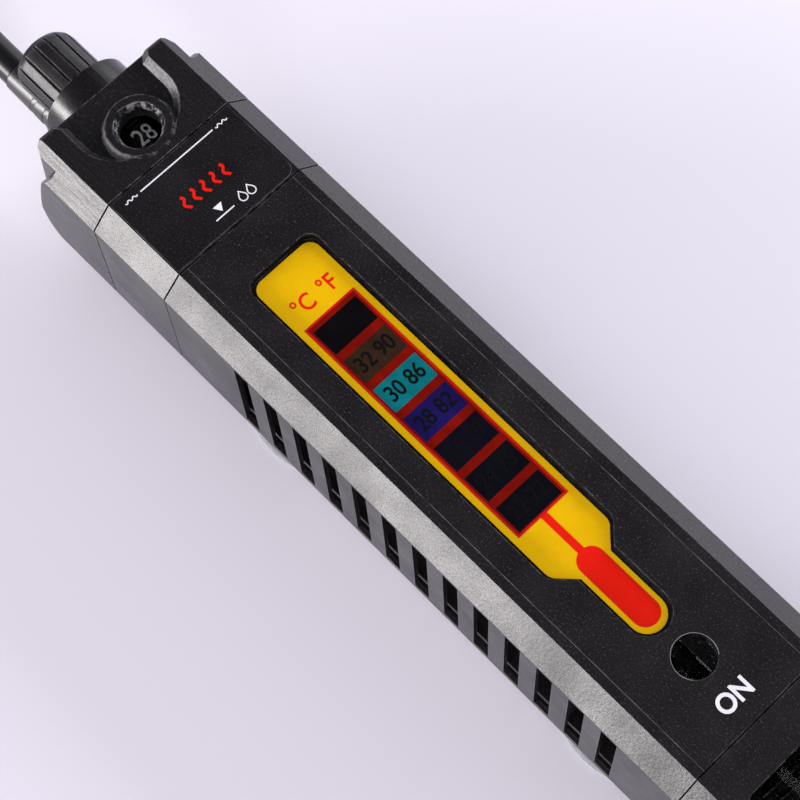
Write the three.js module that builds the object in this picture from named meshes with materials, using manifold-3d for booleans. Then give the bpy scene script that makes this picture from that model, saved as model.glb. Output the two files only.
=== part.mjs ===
// Submersible aquarium heater: a sealed glass heater tube with a turning
// temperature knob, held in a slotted plastic guard that stands on two suction
// cups, with its mains cord wound up beside it.
//
// Millimetres, +Z up. The heater lies on its suction cups with its front face up.
// It is drawn in its own heater frame first: x runs along the body from the seam
// of the head, y across it, and z is 0 on the front face and negative behind it.
// One group then stands that frame on the surface, centred over the origin.

import * as THREE from 'three';
import { mergeVertices } from 'three/addons/utils/BufferGeometryUtils.js';
import Module from 'manifold-3d';

const wasm = await Module();
wasm.setup();

// ---------------------------------------------------------------- dimensions

// Guard section and its four lengths along the body
const bodyWidth = 42;
const bodyDepth = 36.4;
const frontChamfer = 4.8;
const backChamfer = 1.2;
const wall = 2;
const headLength = 21.5;
const collarLength = 21.1;
const guardLength = 139;
const endCapLength = 64;
const seamGap = 0.3;
const fit = 0.3;
const cutPast = 10;

// Head: two horns beside an open channel, and a window boss for the dial
const hornRound = 1.6;
const headLean = 2.8;
const headBackRound = 12;
const headCoreWidth = 36.6;
const hornCorner = 2.8;
const hornFlare = 1.3;
const shoulderLength = 13.8;
const shoulderLean = 7.6;
const channelWidth = 20.8;
const channelDepth = 2.3;
const channelDraft = 1.4;
const channelFullLength = 8;
const channelEndRound = 9.2;
const bossRadius = 7;
const bossDraft = 1.2;
const windowFromSeam = 9;
const windowRimRadius = 5.3;
const windowRadius = 4.4;
const windowRimDepth = 1.9;
const headEndWall = 3;
const headFrontWall = 4.3;

// Collar sleeve that joins the head to the guard
const sleeveWall = 1.1;
const sleeveReach = 3;

// Guard: side slots, thermometer well, pilot hole, screw posts
const slotWidth = 4;
const slotPitch = 8.33;
const slotCount = 13;
const slotBelowChamfer = 0.8;
const slotAboveBack = 3;
const slotBandWall = 1;
const slotBandMargin = 1.2;
const firstSlotFromSeam = 20.2;
const pilotHoleRadius = 4.4;
const pilotHoleFromCap = 15.9;
const postRadius = 2.9;
const postInset = 6.8;
const postAcross = 30;
const screwRadius = 1.4;
const screwHeadRadius = 2.5;
const screwHeadHeight = 1.3;
const screwLength = 9;

// Thermometer strip and its well
const stripStart = 11.7;
const stripWidth = 16;
const stripBodyLength = 82;
const stripCorner = 2.6;
const shoulderRun = 4.4;
const bulbWidth = 7.9;
const stripLength = 103.4;
const stripThickness = 0.4;
const stripSink = 1.5;
const wellMargin = 0.8;
const wellFloor = 1.5;

// Back plate and its two suction cup sockets
const plateThickness = 2;
const backSlotLength = 20;
const socketOuterRadius = 7;
const socketHeight = 2.4;
const socketHoleRadius = 3.2;
const upperCupFromSeam = 25.4;
const lowerCupFromSeam = 116.9;

// Suction cups
const cupRadius = 20.2;
const cupHeight = 8.6;
const cupLip = 1.2;
const cupHollow = 3.9;
const cupCrownRadius = 8;
const cupTabLength = 2.6;
const cupTabWidth = 6;
const cupHeadRadius = 4.4;
const cupHeadHeight = 2;

// End cap: open front window with bars, side slots, rounded end
const endRound = 8;
const windowBand = 8.6;
const windowWidth = 25;
const windowBarWidth = 2.4;
const windowGapLength = 9;
const windowGaps = 4;
const endSlotCount = 5;
const endSlotFromSeam = 12;

// Heater tube
const tubeAxisDepth = 15.4;
const tubeRadius = 10.4;
const tubeWall = 1.1;
const tubeTopFromSeam = 15;
const footPadLength = 14;
const footPadWall = 1.5;
const footPadFloor = 3;
const cushionLength = 3.4;
const cushionFromSeam = 10.4;
const lowerCushionFromSeam = 107;

// Tube cap, knob and the mechanism that they turn
const capRadius = 10.6;
const capClearance = 0.5;
const capFrontFromSeam = 29.4;
const capPlugLength = 1.8;
const gasketThickness = 0.8;
const knobRadius = 7.5;
const knobLength = 14.6;
const knobDome = 3.6;
const knobFlutes = 16;
const fluteWidth = 0.6;
const fluteDepth = 0.55;
const shaftRadius = 2;
const threadRadius = 1.6;
const drumRadius = 8.1;
const drumWidth = 6;
const drumRim = 1.4;
const nutSize = 7;
const nutThickness = 3;

// Mains cord
const cordRadius = 3.7;
const cordAcross = -3.4;
const cordToKnob = 0.6;
const lobeRadius = 5.2;
const lobeSetBack = 0.4;
const reliefLength = 20;
const reliefRootRadius = 4.4;
const reliefTipRadius = 3.95;

// The unseen length of cord, folded into a tied hank in line with the heater
const cordStraight = 58;
const cordDropLength = 62;
const hankFromSeam = 143;
const hankRun = 58;
const hankInnerRadius = 22.2;
const hankPitch = 8;
const hankLayerPitch = 7.85;
const hankLayerTurns = 1.15;
const hankClimbTurns = 0.35;
const hankTurns = 3.5;
const hankLayers = 3;
const hankLeadIn = 8;
const hankTailRise = 36;
const hankTailStraight = 8;
const hankTailShift = 2.2;
const tieWidth = 9;
const tieThickness = 1;
const tieClearance = 0.4;
const tieLift = 1.5;
const plugLength = 36;
const plugWidth = 30;
const plugThickness = 13.6;
const plugNeckLength = 13;
const plugNeckRadius = 5.6;
const pinRadius = 2.35;
const pinLength = 19;
const pinSunk = 4.7;
const pinSpacing = 19;

// Inside the tube
const carrierLength = 54;
const carrierWidth = 13;
const carrierThickness = 1.6;
const carrierDrop = 5;
const boardWidth = 11;
const boardThickness = 1.2;
const coreRadius = 5.6;
const coreLength = 44;
const coreFromDome = 8.3;
const windingRadius = 6.6;
const windingWireRadius = 0.45;
const windingTurns = 16;
const discRadius = 8.6;
const discThickness = 1.6;
const contactFromNut = 13.5;
const railOverrun = 5;
const bimetalThickness = 0.6;
const bimetalWidth = 5.2;
const bimetalFromNut = 2.6;
const stripPostLength = 6;
const stripPostWidth = 6.8;
const stripPostFromEnd = 1;
const contactRadius = 1.3;
const leafFromNut = 10;
const magnetFromNut = 20;
const magnetLength = 5;
const capacitorFromBoard = 6;
const capacitorLength = 11;
const capacitorWidth = 6;
const capacitorHeight = 6.5;
const lampRadius = 2.5;
const resistorLength = 6;
const resistorRadius = 1.2;
const resistorFromLamp = 4;
const lampLength = 12;
const wireRadius = 0.6;

// ------------------------------------------------------------ derived places

const half = bodyWidth / 2;
const xHead = -headLength;
const xCollar = collarLength;
const xCap = collarLength + guardLength;
const xEnd = xCap + endCapLength;
const zBack = -bodyDepth;
const zAxis = -tubeAxisDepth;
const cordFromAxis = knobRadius + cordToKnob + reliefRootRadius;
const cordDepth = tubeAxisDepth + Math.sqrt(cordFromAxis ** 2 - cordAcross ** 2);
const boreRadius = tubeRadius - tubeWall;
const slotTop = -frontChamfer - slotBelowChamfer;
const slotBottom = zBack + slotAboveBack;
const xCapFront = -capFrontFromSeam;
const xKnobTip = xCapFront - fit - knobLength;
const xTubeTop = -tubeTopFromSeam;
const xTubeEnd = xEnd - wall - fit - footPadFloor - fit;
const standHeight = bodyDepth + cupHeight;
const xMiddle = (xKnobTip + xEnd) / 2;

// ------------------------------------------------------------------- helpers

function toSolid(geometry) {
  const bare = geometry.clone();
  bare.deleteAttribute('normal');
  bare.deleteAttribute('uv');
  const merged = mergeVertices(bare, 1e-4);
  const corners = merged.index.array;
  const kept = [];
  for (let i = 0; i < corners.length; i += 3) {
    const [a, b, c] = [corners[i], corners[i + 1], corners[i + 2]];
    if (a !== b && b !== c && c !== a) kept.push(a, b, c);
  }
  return new wasm.Manifold(new wasm.Mesh({
    numProp: 3,
    vertProperties: new Float32Array(merged.attributes.position.array),
    triVerts: new Uint32Array(kept),
  }));
}

function toGeometry(solid) {
  const mesh = solid.getMesh();
  const geometry = new THREE.BufferGeometry();
  geometry.setAttribute('position', new THREE.BufferAttribute(mesh.vertProperties, 3));
  geometry.setIndex(new THREE.BufferAttribute(mesh.triVerts, 1));
  geometry.computeVertexNormals();
  return geometry;
}

const join = (first, ...rest) => rest.reduce((whole, next) => whole.add(next), first);
const cut = (first, ...rest) => rest.reduce((whole, next) => whole.subtract(next), first);

function polygon(points) {
  return new THREE.Shape(points.map(([a, b]) => new THREE.Vector2(a, b)));
}

function rectangle(a0, a1, b0, b1) {
  return polygon([[a0, b0], [a1, b0], [a1, b1], [a0, b1]]);
}

function roundRectangle(a0, a1, b0, b1, r) {
  const shape = new THREE.Shape();
  shape.moveTo(a0 + r, b0);
  shape.lineTo(a1 - r, b0);
  shape.absarc(a1 - r, b0 + r, r, -Math.PI / 2, 0);
  shape.lineTo(a1, b1 - r);
  shape.absarc(a1 - r, b1 - r, r, 0, Math.PI / 2);
  shape.lineTo(a0 + r, b1);
  shape.absarc(a0 + r, b1 - r, r, Math.PI / 2, Math.PI);
  shape.lineTo(a0, b0 + r);
  shape.absarc(a0 + r, b0 + r, r, Math.PI, Math.PI * 1.5);
  return shape;
}

// A shape drawn in (y, z) and pulled along x
function alongX(shape, x0, x1, curveSegments = 6) {
  const geometry = new THREE.ExtrudeGeometry(shape, { depth: x1 - x0, bevelEnabled: false, curveSegments });
  const basis = new THREE.Matrix4().makeBasis(
    new THREE.Vector3(0, 1, 0), new THREE.Vector3(0, 0, 1), new THREE.Vector3(1, 0, 0));
  return toSolid(geometry.applyMatrix4(basis).translate(x0, 0, 0));
}

// A shape drawn in (x, z) and pulled along y
function alongY(shape, y0, y1, curveSegments = 6) {
  const geometry = new THREE.ExtrudeGeometry(shape, { depth: y1 - y0, bevelEnabled: false, curveSegments });
  const basis = new THREE.Matrix4().makeBasis(
    new THREE.Vector3(1, 0, 0), new THREE.Vector3(0, 0, 1), new THREE.Vector3(0, -1, 0));
  return toSolid(geometry.applyMatrix4(basis).translate(0, y1, 0));
}

// A shape drawn in (x, y) and pulled along z
function alongZ(shape, z0, z1, curveSegments = 6) {
  const geometry = new THREE.ExtrudeGeometry(shape, { depth: z1 - z0, bevelEnabled: false, curveSegments });
  return toSolid(geometry.translate(0, 0, z0));
}

function box(x0, x1, y0, y1, z0, z1) {
  const geometry = new THREE.BoxGeometry(x1 - x0, y1 - y0, z1 - z0);
  return toSolid(geometry.translate((x0 + x1) / 2, (y0 + y1) / 2, (z0 + z1) / 2));
}

// A cone or cylinder along x, about (y, z)
function rodX(x0, x1, r0, r1, y, z, segments = 24) {
  const geometry = new THREE.CylinderGeometry(r1, r0, x1 - x0, segments);
  geometry.rotateZ(-Math.PI / 2);
  return toSolid(geometry.translate((x0 + x1) / 2, y, z));
}

// A cone or cylinder along z, about (x, y)
function rodZ(z0, z1, r0, r1, x, y, segments = 24) {
  const geometry = new THREE.CylinderGeometry(r1, r0, z1 - z0, segments);
  geometry.rotateX(Math.PI / 2);
  return toSolid(geometry.translate(x, y, (z0 + z1) / 2));
}

// Turned profiles run counter-clockwise, so that their faces look outwards
function lathe(profile, segments) {
  const points = profile.map(([r, h]) => new THREE.Vector2(r, h));
  if (THREE.ShapeUtils.area(points) < 0) points.reverse();
  return new THREE.LatheGeometry(points, segments);
}

// A profile of [radius, x] points turned about the tube's axis
function turnedX(profile, segments = 32, z = zAxis) {
  return toSolid(lathe(profile, segments).rotateZ(-Math.PI / 2).translate(0, 0, z));
}

// A profile of [radius, z] points turned about a vertical axis
function turnedZ(profile, x, y, segments = 40) {
  return toSolid(lathe(profile, segments).rotateX(Math.PI / 2).translate(x, y, 0));
}

// One unbroken round tube through a list of points
function sweep(points, radius, sides) {
  const count = points.length;
  const tangents = points.map((p, i) => {
    const before = points[Math.max(i - 1, 0)];
    const after = points[Math.min(i + 1, count - 1)];
    return after.clone().sub(before).normalize();
  });
  const start = Math.abs(tangents[0].z) < 0.9 ? new THREE.Vector3(0, 0, 1) : new THREE.Vector3(1, 0, 0);
  let side = start.cross(tangents[0]).normalize();
  const positions = [];
  points.forEach((p, i) => {
    side = side.sub(tangents[i].clone().multiplyScalar(side.dot(tangents[i]))).normalize();
    const up = tangents[i].clone().cross(side);
    for (let k = 0; k < sides; k += 1) {
      const angle = (k / sides) * Math.PI * 2;
      const q = p.clone().addScaledVector(side, Math.cos(angle) * radius);
      q.addScaledVector(up, Math.sin(angle) * radius);
      positions.push(q.x, q.y, q.z);
    }
  });
  const faces = [];
  for (let i = 0; i < count - 1; i += 1) {
    for (let k = 0; k < sides; k += 1) {
      const a = i * sides + k;
      const b = i * sides + ((k + 1) % sides);
      faces.push(a, b, a + sides, b, b + sides, a + sides);
    }
  }
  for (let k = 1; k < sides - 1; k += 1) {
    const last = (count - 1) * sides;
    faces.push(0, k + 1, k, last, last + k, last + k + 1);
  }
  const geometry = new THREE.BufferGeometry();
  geometry.setAttribute('position', new THREE.Float32BufferAttribute(positions, 3));
  geometry.setIndex(faces);
  return toSolid(geometry);
}

// ----------------------------------------------------------------- materials

const plastic = new THREE.MeshStandardMaterial({ color: 0x1c1b1e, roughness: 0.55 });
const glossBlack = new THREE.MeshStandardMaterial({ color: 0x17161a, roughness: 0.25 });
const stripYellow = new THREE.MeshStandardMaterial({ color: 0xe8c400, roughness: 0.35 });
const glass = new THREE.MeshStandardMaterial({
  color: 0xdfe8ec, roughness: 0.05, transparent: true, opacity: 0.3 });
const rubber = new THREE.MeshStandardMaterial({ color: 0x222226, roughness: 0.8 });
const clearRubber = new THREE.MeshStandardMaterial({
  color: 0xd8dde0, roughness: 0.3, transparent: true, opacity: 0.6 });
const steel = new THREE.MeshStandardMaterial({ color: 0xb9bbc0, roughness: 0.35, metalness: 1 });
const brass = new THREE.MeshStandardMaterial({ color: 0xb89a55, roughness: 0.35, metalness: 1 });
const ceramic = new THREE.MeshStandardMaterial({ color: 0xe9e4d8, roughness: 0.7 });
const whitePlastic = new THREE.MeshStandardMaterial({ color: 0xdedbd2, roughness: 0.5 });
const lampGlass = new THREE.MeshStandardMaterial({ color: 0xff7a30, roughness: 0.1 });

const heater = new THREE.Group();
heater.position.set(-xMiddle, 0, standHeight);
const part = new THREE.Group();
part.add(heater);

function place(group, name, solid, material) {
  const mesh = new THREE.Mesh(toGeometry(solid), material);
  mesh.name = name;
  group.add(mesh);
}

// --------------------------------------------------------------- guard shape

// The guard's section in (y, z), drawn in from its outside by inset
function section(inset) {
  const y = half - inset;
  const leg = frontChamfer - inset * (2 - Math.SQRT2);
  const foot = Math.max(backChamfer - inset * (2 - Math.SQRT2), 0.1);
  const top = -inset;
  const low = zBack + inset;
  return polygon([
    [-y + foot, low], [y - foot, low], [y, low + foot], [y, top - leg],
    [y - leg, top], [-y + leg, top], [-y, top - leg], [-y, low + foot]]);
}

// Pear-shaped bar about the tube cap's two circles, in (y, z)
function pearBar(x0, x1, clearance) {
  const [dy, dz] = [cordAcross, -cordDepth - zAxis];
  const apart = Math.hypot(dy, dz);
  const lean = Math.acos((capRadius - lobeRadius) / apart);
  const heading = Math.atan2(dz, dy);
  const touch = (y, z, r, turn) => [
    y + (r + clearance) * Math.cos(heading + turn), z + (r + clearance) * Math.sin(heading + turn)];
  const web = alongX(polygon([
    touch(0, zAxis, capRadius, -lean), touch(cordAcross, -cordDepth, lobeRadius, -lean),
    touch(cordAcross, -cordDepth, lobeRadius, lean), touch(0, zAxis, capRadius, lean)]), x0, x1);
  const round = rodX(x0, x1, capRadius + clearance, capRadius + clearance, 0, zAxis, 40);
  const lobe = rodX(x0, x1, lobeRadius + clearance, lobeRadius + clearance, cordAcross, -cordDepth, 24);
  return join(round, lobe, web);
}

// ---------------------------------------------------------------------- head

// Side view of the head core: the horns' rounded tip, then a leaning end
function headCore() {
  const side = new THREE.Shape();
  side.moveTo(-seamGap / 2, 0);
  side.lineTo(xHead + hornRound, 0);
  side.absarc(xHead + hornRound, -hornRound, hornRound, Math.PI / 2, Math.PI);
  side.lineTo(xHead - headLean, zBack + headBackRound);
  side.quadraticCurveTo(xHead - headLean, zBack, xHead - headLean + headBackRound, zBack);
  side.lineTo(-seamGap / 2, zBack);
  const y = headCoreWidth / 2;
  const plan = polygon([
    [1, -y], [xHead + hornCorner, -y], [xHead + hornCorner * 0.3, -y + hornCorner * 0.35],
    [xHead, -y + hornCorner], [xHead, y - hornCorner],
    [xHead + hornCorner * 0.3, y - hornCorner * 0.35], [xHead + hornCorner, y], [1, y]]);
  const slope = headLean / (bodyDepth - headBackRound - hornRound);
  const leaning = alongZ(plan, zBack - 1, 1).transform([
    1, 0, 0, 0, 0, 1, 0, 0, slope, 0, 1, 0, slope * hornRound, 0, 0, 1]);
  const core = alongX(section(0), xHead - headLean - 1, 0);
  return core.intersect(alongY(side, -half, half)).intersect(leaning);
}

// The full-width shoulders start behind the horns and lean out to the back
function headShoulders() {
  const start = -shoulderLength;
  const reach = start - shoulderLean;
  const side = new THREE.Shape();
  side.moveTo(-seamGap / 2, 0);
  side.lineTo(start, 0);
  side.lineTo(start - 0.3, -frontChamfer * 0.75);
  side.lineTo(start - shoulderLean * 0.42, -frontChamfer * 1.6);
  side.quadraticCurveTo(reach + 1.2, -bodyDepth * 0.5, reach, -bodyDepth * 0.7);
  side.quadraticCurveTo(reach, zBack, reach + endRound, zBack);
  side.lineTo(-seamGap / 2, zBack);
  return alongX(section(0), reach - 1, 0).intersect(alongY(side, -half, half));
}

// The channel between the horns, with drafted walls, around the window boss
function headChannel() {
  const foot = channelWidth / 2;
  const straightEnd = xHead + channelFullLength;
  const outline = new THREE.Shape();
  outline.moveTo(xHead - cutPast, -foot - hornFlare);
  outline.lineTo(xHead, -foot - hornFlare);
  outline.lineTo(xHead + hornRound, -foot);
  outline.lineTo(straightEnd, -foot);
  outline.absellipse(straightEnd, 0, channelEndRound, foot, -Math.PI / 2, Math.PI / 2, false, 0);
  outline.lineTo(xHead + hornRound, foot);
  outline.lineTo(xHead, foot + hornFlare);
  outline.lineTo(xHead - cutPast, foot + hornFlare);
  const geometry = new THREE.ExtrudeGeometry(outline, {
    depth: 2, curveSegments: 10, bevelThickness: channelDepth, bevelSize: channelDraft, bevelSegments: 1 });
  const channel = toSolid(geometry);
  const boss = join(
    rodZ(-channelDepth - 1, 0, bossRadius + bossDraft, bossRadius, -windowFromSeam, 0, 32),
    rodZ(-0.01, 2, bossRadius, bossRadius, -windowFromSeam, 0, 32));
  return channel.subtract(boss);
}

function headCap() {
  const shell = headCore().add(headShoulders());
  const window = join(
    rodZ(-headFrontWall - cutPast, 1, windowRadius, windowRadius, -windowFromSeam, 0, 32),
    rodZ(-windowRimDepth, 0.01, windowRadius, windowRimRadius, -windowFromSeam, 0, 32));
  const roomEnd = xHead + headEndWall;
  const room = polygon([
    [1, -headFrontWall], [roomEnd, -headFrontWall], [roomEnd - headLean * 0.6, zAxis],
    [roomEnd - headLean * 0.6, zBack + headBackRound], [roomEnd + headBackRound * 0.6, zBack + wall],
    [1, zBack + wall]]);
  const coreInside = headCoreWidth / 2 - wall;
  const slice = alongX(rectangle(-coreInside, coreInside, zBack - 1, 1), xHead - 4, 1);
  const full = alongX(section(wall), -shoulderLength + wall, 1);
  const hollow = alongX(section(wall), xHead - 4, 1)
    .intersect(alongY(room, -half, half))
    .intersect(join(slice, full));
  const counterbore = alongX(section(wall), -sleeveReach - fit, 1);
  const passage = pearBar(xCapFront, 1, capClearance);
  return cut(shell, headChannel(), window, hollow, counterbore, passage);
}

// -------------------------------------------------------------------- collar

function labelCollar() {
  const x0 = seamGap / 2;
  const x1 = xCollar - seamGap / 2;
  const ring = alongX(section(0), x0, x1);
  const sleeve = alongX(section(wall + fit), x0 - sleeveReach, x1 + sleeveReach);
  const bore = alongX(section(wall + fit + sleeveWall), x0 - sleeveReach - 1, x1 + sleeveReach + 1);
  return join(ring, sleeve).subtract(bore);
}

// --------------------------------------------------------------- thermometer

// Thermometer outline in (x, y): round-cornered card, shoulders, round bulb end
function stripOutline(margin) {
  const x0 = xCollar + stripStart - margin;
  const wide = stripWidth / 2 + margin;
  const narrow = bulbWidth / 2 + margin;
  const xBody = xCollar + stripStart + stripBodyLength;
  const xNeck = xBody + shoulderRun;
  const xTip = xCollar + stripStart + stripLength + margin;
  const r = stripCorner;
  const outline = new THREE.Shape();
  outline.moveTo(x0 + r, -wide);
  outline.lineTo(xBody - 1.2, -wide);
  outline.quadraticCurveTo(xBody + 0.4, -wide, xBody + 1.2, -wide + 1);
  outline.lineTo(xNeck, -narrow);
  outline.lineTo(xTip - narrow, -narrow);
  outline.absarc(xTip - narrow, 0, narrow, -Math.PI / 2, Math.PI / 2);
  outline.lineTo(xNeck, narrow);
  outline.lineTo(xBody + 1.2, wide - 1);
  outline.quadraticCurveTo(xBody + 0.4, wide, xBody - 1.2, wide);
  outline.lineTo(x0 + r, wide);
  outline.absarc(x0 + r, wide - r, r, Math.PI / 2, Math.PI);
  outline.lineTo(x0, -wide + r);
  outline.absarc(x0 + r, -wide + r, r, Math.PI, Math.PI * 1.5);
  return outline;
}

const wellDepth = stripSink + stripThickness + fit;

function thermometerStrip() {
  return alongZ(stripOutline(0), -stripSink - stripThickness, -stripSink, 8);
}

// --------------------------------------------------------------------- guard

// Upright slots through both side walls, which are thinner all along them
function sideSlots(x, count) {
  const y = half - slotBandWall;
  const m = slotBandMargin;
  const x1 = x + (count - 1) * slotPitch + slotWidth;
  const slots = [box(x - m, x1 + m, -y, y, slotBottom - m, slotTop)];
  for (let i = 0; i < count; i += 1) {
    const x0 = x + i * slotPitch;
    slots.push(box(x0, x0 + slotWidth, -half - 1, half + 1, slotBottom, slotTop));
  }
  return join(...slots);
}

const postPlaces = [xCollar + postInset, xCap - postInset].flatMap(
  (x) => [[x, -postAcross / 2], [x, postAcross / 2]]);
const plateInner = zBack + plateThickness;

function guardShell() {
  const x0 = xCollar + seamGap / 2;
  const x1 = xCap - seamGap / 2;
  const shell = alongX(section(0), x0, x1);
  const inside = alongX(section(wall), x0 - 1, x1 + 1);
  const backOpening = box(x0 - 1, x1 + 1, -half + wall, half - wall, zBack - 1, plateInner + 1);
  const backing = alongZ(stripOutline(wall), -wellDepth - wellFloor, -wall / 2, 3);
  const posts = join(...postPlaces.map(
    ([x, y]) => rodZ(plateInner + fit, -wall / 2, postRadius, postRadius, x, y, 16)))
    .intersect(alongX(section(wall / 2), x0, x1));
  const pilots = postPlaces.map(
    ([x, y]) => rodZ(plateInner, plateInner + screwLength, screwRadius + fit, screwRadius + fit, x, y, 12));
  const open = cut(shell, inside, backOpening);
  const well = alongZ(stripOutline(wellMargin), -wellDepth, 1, 8);
  const pilotHole = rodZ(
    -wall - 1, 1, pilotHoleRadius, pilotHoleRadius, xCap - pilotHoleFromCap, 0, 32);
  const slots = sideSlots(xCollar + firstSlotFromSeam, slotCount);
  return cut(join(open, backing, posts), well, pilotHole, slots, ...pilots);
}

// ---------------------------------------------------------------- back plate

const cupPlaces = { upper: xCollar + upperCupFromSeam, lower: xCollar + lowerCupFromSeam };

function backPlate() {
  const x0 = xCollar + seamGap / 2;
  const x1 = xCap - seamGap / 2;
  const y = half - wall - fit;
  const plate = alongZ(roundRectangle(x0, x1, -y, y, 1.5), zBack, plateInner, 3);
  const sockets = Object.values(cupPlaces).map(
    (x) => rodZ(zBack - socketHeight, plateInner, socketOuterRadius, socketOuterRadius, x, 0, 24));
  const holes = Object.values(cupPlaces).map(
    (x) => rodZ(zBack - socketHeight - 1, plateInner + 1, socketHoleRadius, socketHoleRadius, x, 0, 20));
  const clear = socketOuterRadius + slotWidth;
  const slots = [];
  for (let i = 0; i < slotCount; i += 1) {
    const x = xCollar + firstSlotFromSeam + i * slotPitch;
    const middle = x + slotWidth / 2;
    if (Object.values(cupPlaces).some((place) => Math.abs(place - middle) < clear)) continue;
    slots.push(box(x, x + slotWidth, -backSlotLength / 2, backSlotLength / 2, zBack - 1, plateInner + 1));
  }
  const screwHoles = postPlaces.map(([x, yPost]) => join(
    rodZ(zBack - 1, plateInner + 1, screwRadius + fit, screwRadius + fit, x, yPost, 12),
    rodZ(zBack - 1, zBack + screwHeadHeight, screwHeadRadius + fit, screwHeadRadius + fit, x, yPost, 16)));
  return cut(join(plate, ...sockets), ...holes, ...slots, ...screwHoles);
}

// Pan-head screw, pointing up into its post
function backScrew([x, y]) {
  const seat = zBack + screwHeadHeight - fit;
  const head = rodZ(seat - screwHeadHeight + fit, seat, screwHeadRadius - 0.4, screwHeadRadius, x, y, 16);
  const shank = rodZ(seat - 0.2, seat + screwLength - 1, screwRadius, screwRadius * 0.7, x, y, 12);
  const slot = box(x - screwHeadRadius, x + screwHeadRadius, y - 0.3, y + 0.3, zBack - 1, zBack + 0.5);
  return cut(join(head, shank), slot);
}

// -------------------------------------------------------------- suction cups

// Soft bell with a pull tab, and a mushroom head through its socket
function suctionCup(x) {
  const rim = zBack - cupHeight;
  const neck = socketHoleRadius - fit;
  const shoulder = zBack - socketHeight - fit;
  const headSeat = plateInner + fit;
  const bell = turnedZ([
    [0, rim + cupHollow], [cupRadius * 0.35, rim + cupHollow * 0.93],
    [cupRadius * 0.65, rim + cupHollow * 0.6], [cupRadius - cupLip, rim], [cupRadius, rim],
    [cupRadius, rim + 0.7], [cupRadius * 0.72, rim + cupHollow * 0.85 + 0.8],
    [cupCrownRadius, rim + cupHollow + 1.4], [cupCrownRadius - 1.5, shoulder], [neck, shoulder],
    [neck, headSeat], [cupHeadRadius, headSeat + 0.3], [neck, headSeat + cupHeadHeight],
    [0, headSeat + cupHeadHeight]], x, 0);
  const tab = alongZ(roundRectangle(x + cupRadius - 1.2, x + cupRadius + cupTabLength,
    -cupTabWidth / 2, cupTabWidth / 2, 1.2), rim, rim + 0.8, 3);
  return join(bell, tab);
}

// ------------------------------------------------------------------- end cap

// Plan and side outlines of the end cap, with its far corners rounded
function capOutline(a0, a1, b0, b1, r) {
  const outline = new THREE.Shape();
  outline.moveTo(a0, b0);
  outline.lineTo(a1 - r, b0);
  outline.absarc(a1 - r, b0 + r, r, -Math.PI / 2, 0);
  outline.lineTo(a1, b1 - r);
  outline.absarc(a1 - r, b1 - r, r, 0, Math.PI / 2);
  outline.lineTo(a0, b1);
  return outline;
}

function capBlock(inset, x0) {
  const round = endRound - inset;
  const plan = capOutline(x0, xEnd - inset, -half + inset, half - inset, round);
  const side = capOutline(x0, xEnd - inset, zBack + inset, -inset, round);
  return alongX(section(inset), x0, xEnd - inset)
    .intersect(alongZ(plan, zBack - 1, 1, 5))
    .intersect(alongY(side, -half, half, 5));
}

const xWindow = xCap + windowBand;

function endCap() {
  const shell = capBlock(0, xCap + seamGap / 2);
  const hollow = capBlock(wall, xCap - 1);
  const gaps = [];
  for (let i = 0; i < windowGaps; i += 1) {
    const x = xWindow + i * (windowGapLength + windowBarWidth);
    gaps.push(alongZ(roundRectangle(x, x + windowGapLength, -windowWidth / 2, windowWidth / 2, 1.5),
      -wall - 1, 1, 3));
  }
  const slots = sideSlots(xCap + endSlotFromSeam, endSlotCount);
  const x0 = xCap + seamGap / 2;
  const sleeve = join(
    alongX(section(wall + fit), x0 - sleeveReach, x0 + wall),
    alongX(section(wall / 2), x0, x0 + wall));
  const bore = alongX(section(wall + fit + sleeveWall), x0 - sleeveReach - 1, x0 + wall + 1);
  return join(cut(shell, hollow, ...gaps, slots), sleeve.subtract(bore));
}

// ------------------------------------------------------- tube and its holders

function glassTube() {
  const domeStart = xTubeEnd - tubeRadius;
  const outer = [];
  const inner = [];
  const domeSteps = 6;
  for (let i = 0; i <= domeSteps; i += 1) {
    const angle = (i / domeSteps) * Math.PI / 2;
    outer.push([tubeRadius * Math.cos(angle), domeStart + tubeRadius * Math.sin(angle)]);
    inner.push([boreRadius * Math.cos(angle), domeStart + boreRadius * Math.sin(angle)]);
  }
  outer[domeSteps][0] = 0;
  inner[domeSteps][0] = 0;
  return turnedX([...inner.reverse(), [boreRadius, xTubeTop], [tubeRadius, xTubeTop], ...outer], 32);
}

// Soft block that holds the tube inside the guard, at x
function tubeCushion(x) {
  const reach = half - wall - fit;
  const top = -wellDepth - wellFloor - fit;
  const low = plateInner + fit;
  const block = alongX(section(wall + fit), x, x + cushionLength)
    .intersect(box(x - 1, x + cushionLength + 1, -reach, reach, low, top));
  const bore = rodX(x - 1, x + cushionLength + 1, tubeRadius + fit, tubeRadius + fit, 0, zAxis, 32);
  const lighten = [-1, 1].map((s) => rodX(
    x - 1, x + cushionLength + 1, 2.6, 2.6, s * (reach - 4.4), low + 4.6, 12));
  return cut(block, bore, ...lighten);
}

// Rubber cup under the tube's round end
function footPad() {
  const x1 = xEnd - wall - fit;
  const x0 = x1 - footPadLength;
  const rim = tubeRadius + fit + footPadWall;
  const body = turnedX([[0, x0], [rim, x0], [rim, x1 - 4.5], [rim - 4, x1], [0, x1]], 28);
  const domeStart = xTubeEnd - tubeRadius;
  const seat = [[0, x0 - 1], [tubeRadius + fit, x0 - 1]];
  for (let i = 0; i <= 8; i += 1) {
    const angle = (i / 8) * Math.PI / 2;
    seat.push([(tubeRadius + fit) * Math.cos(angle), domeStart + (tubeRadius + fit) * Math.sin(angle)]);
  }
  seat[seat.length - 1][0] = 0;
  return body.subtract(turnedX(seat.filter(([, x]) => x > x0 - 2), 28));
}

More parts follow.
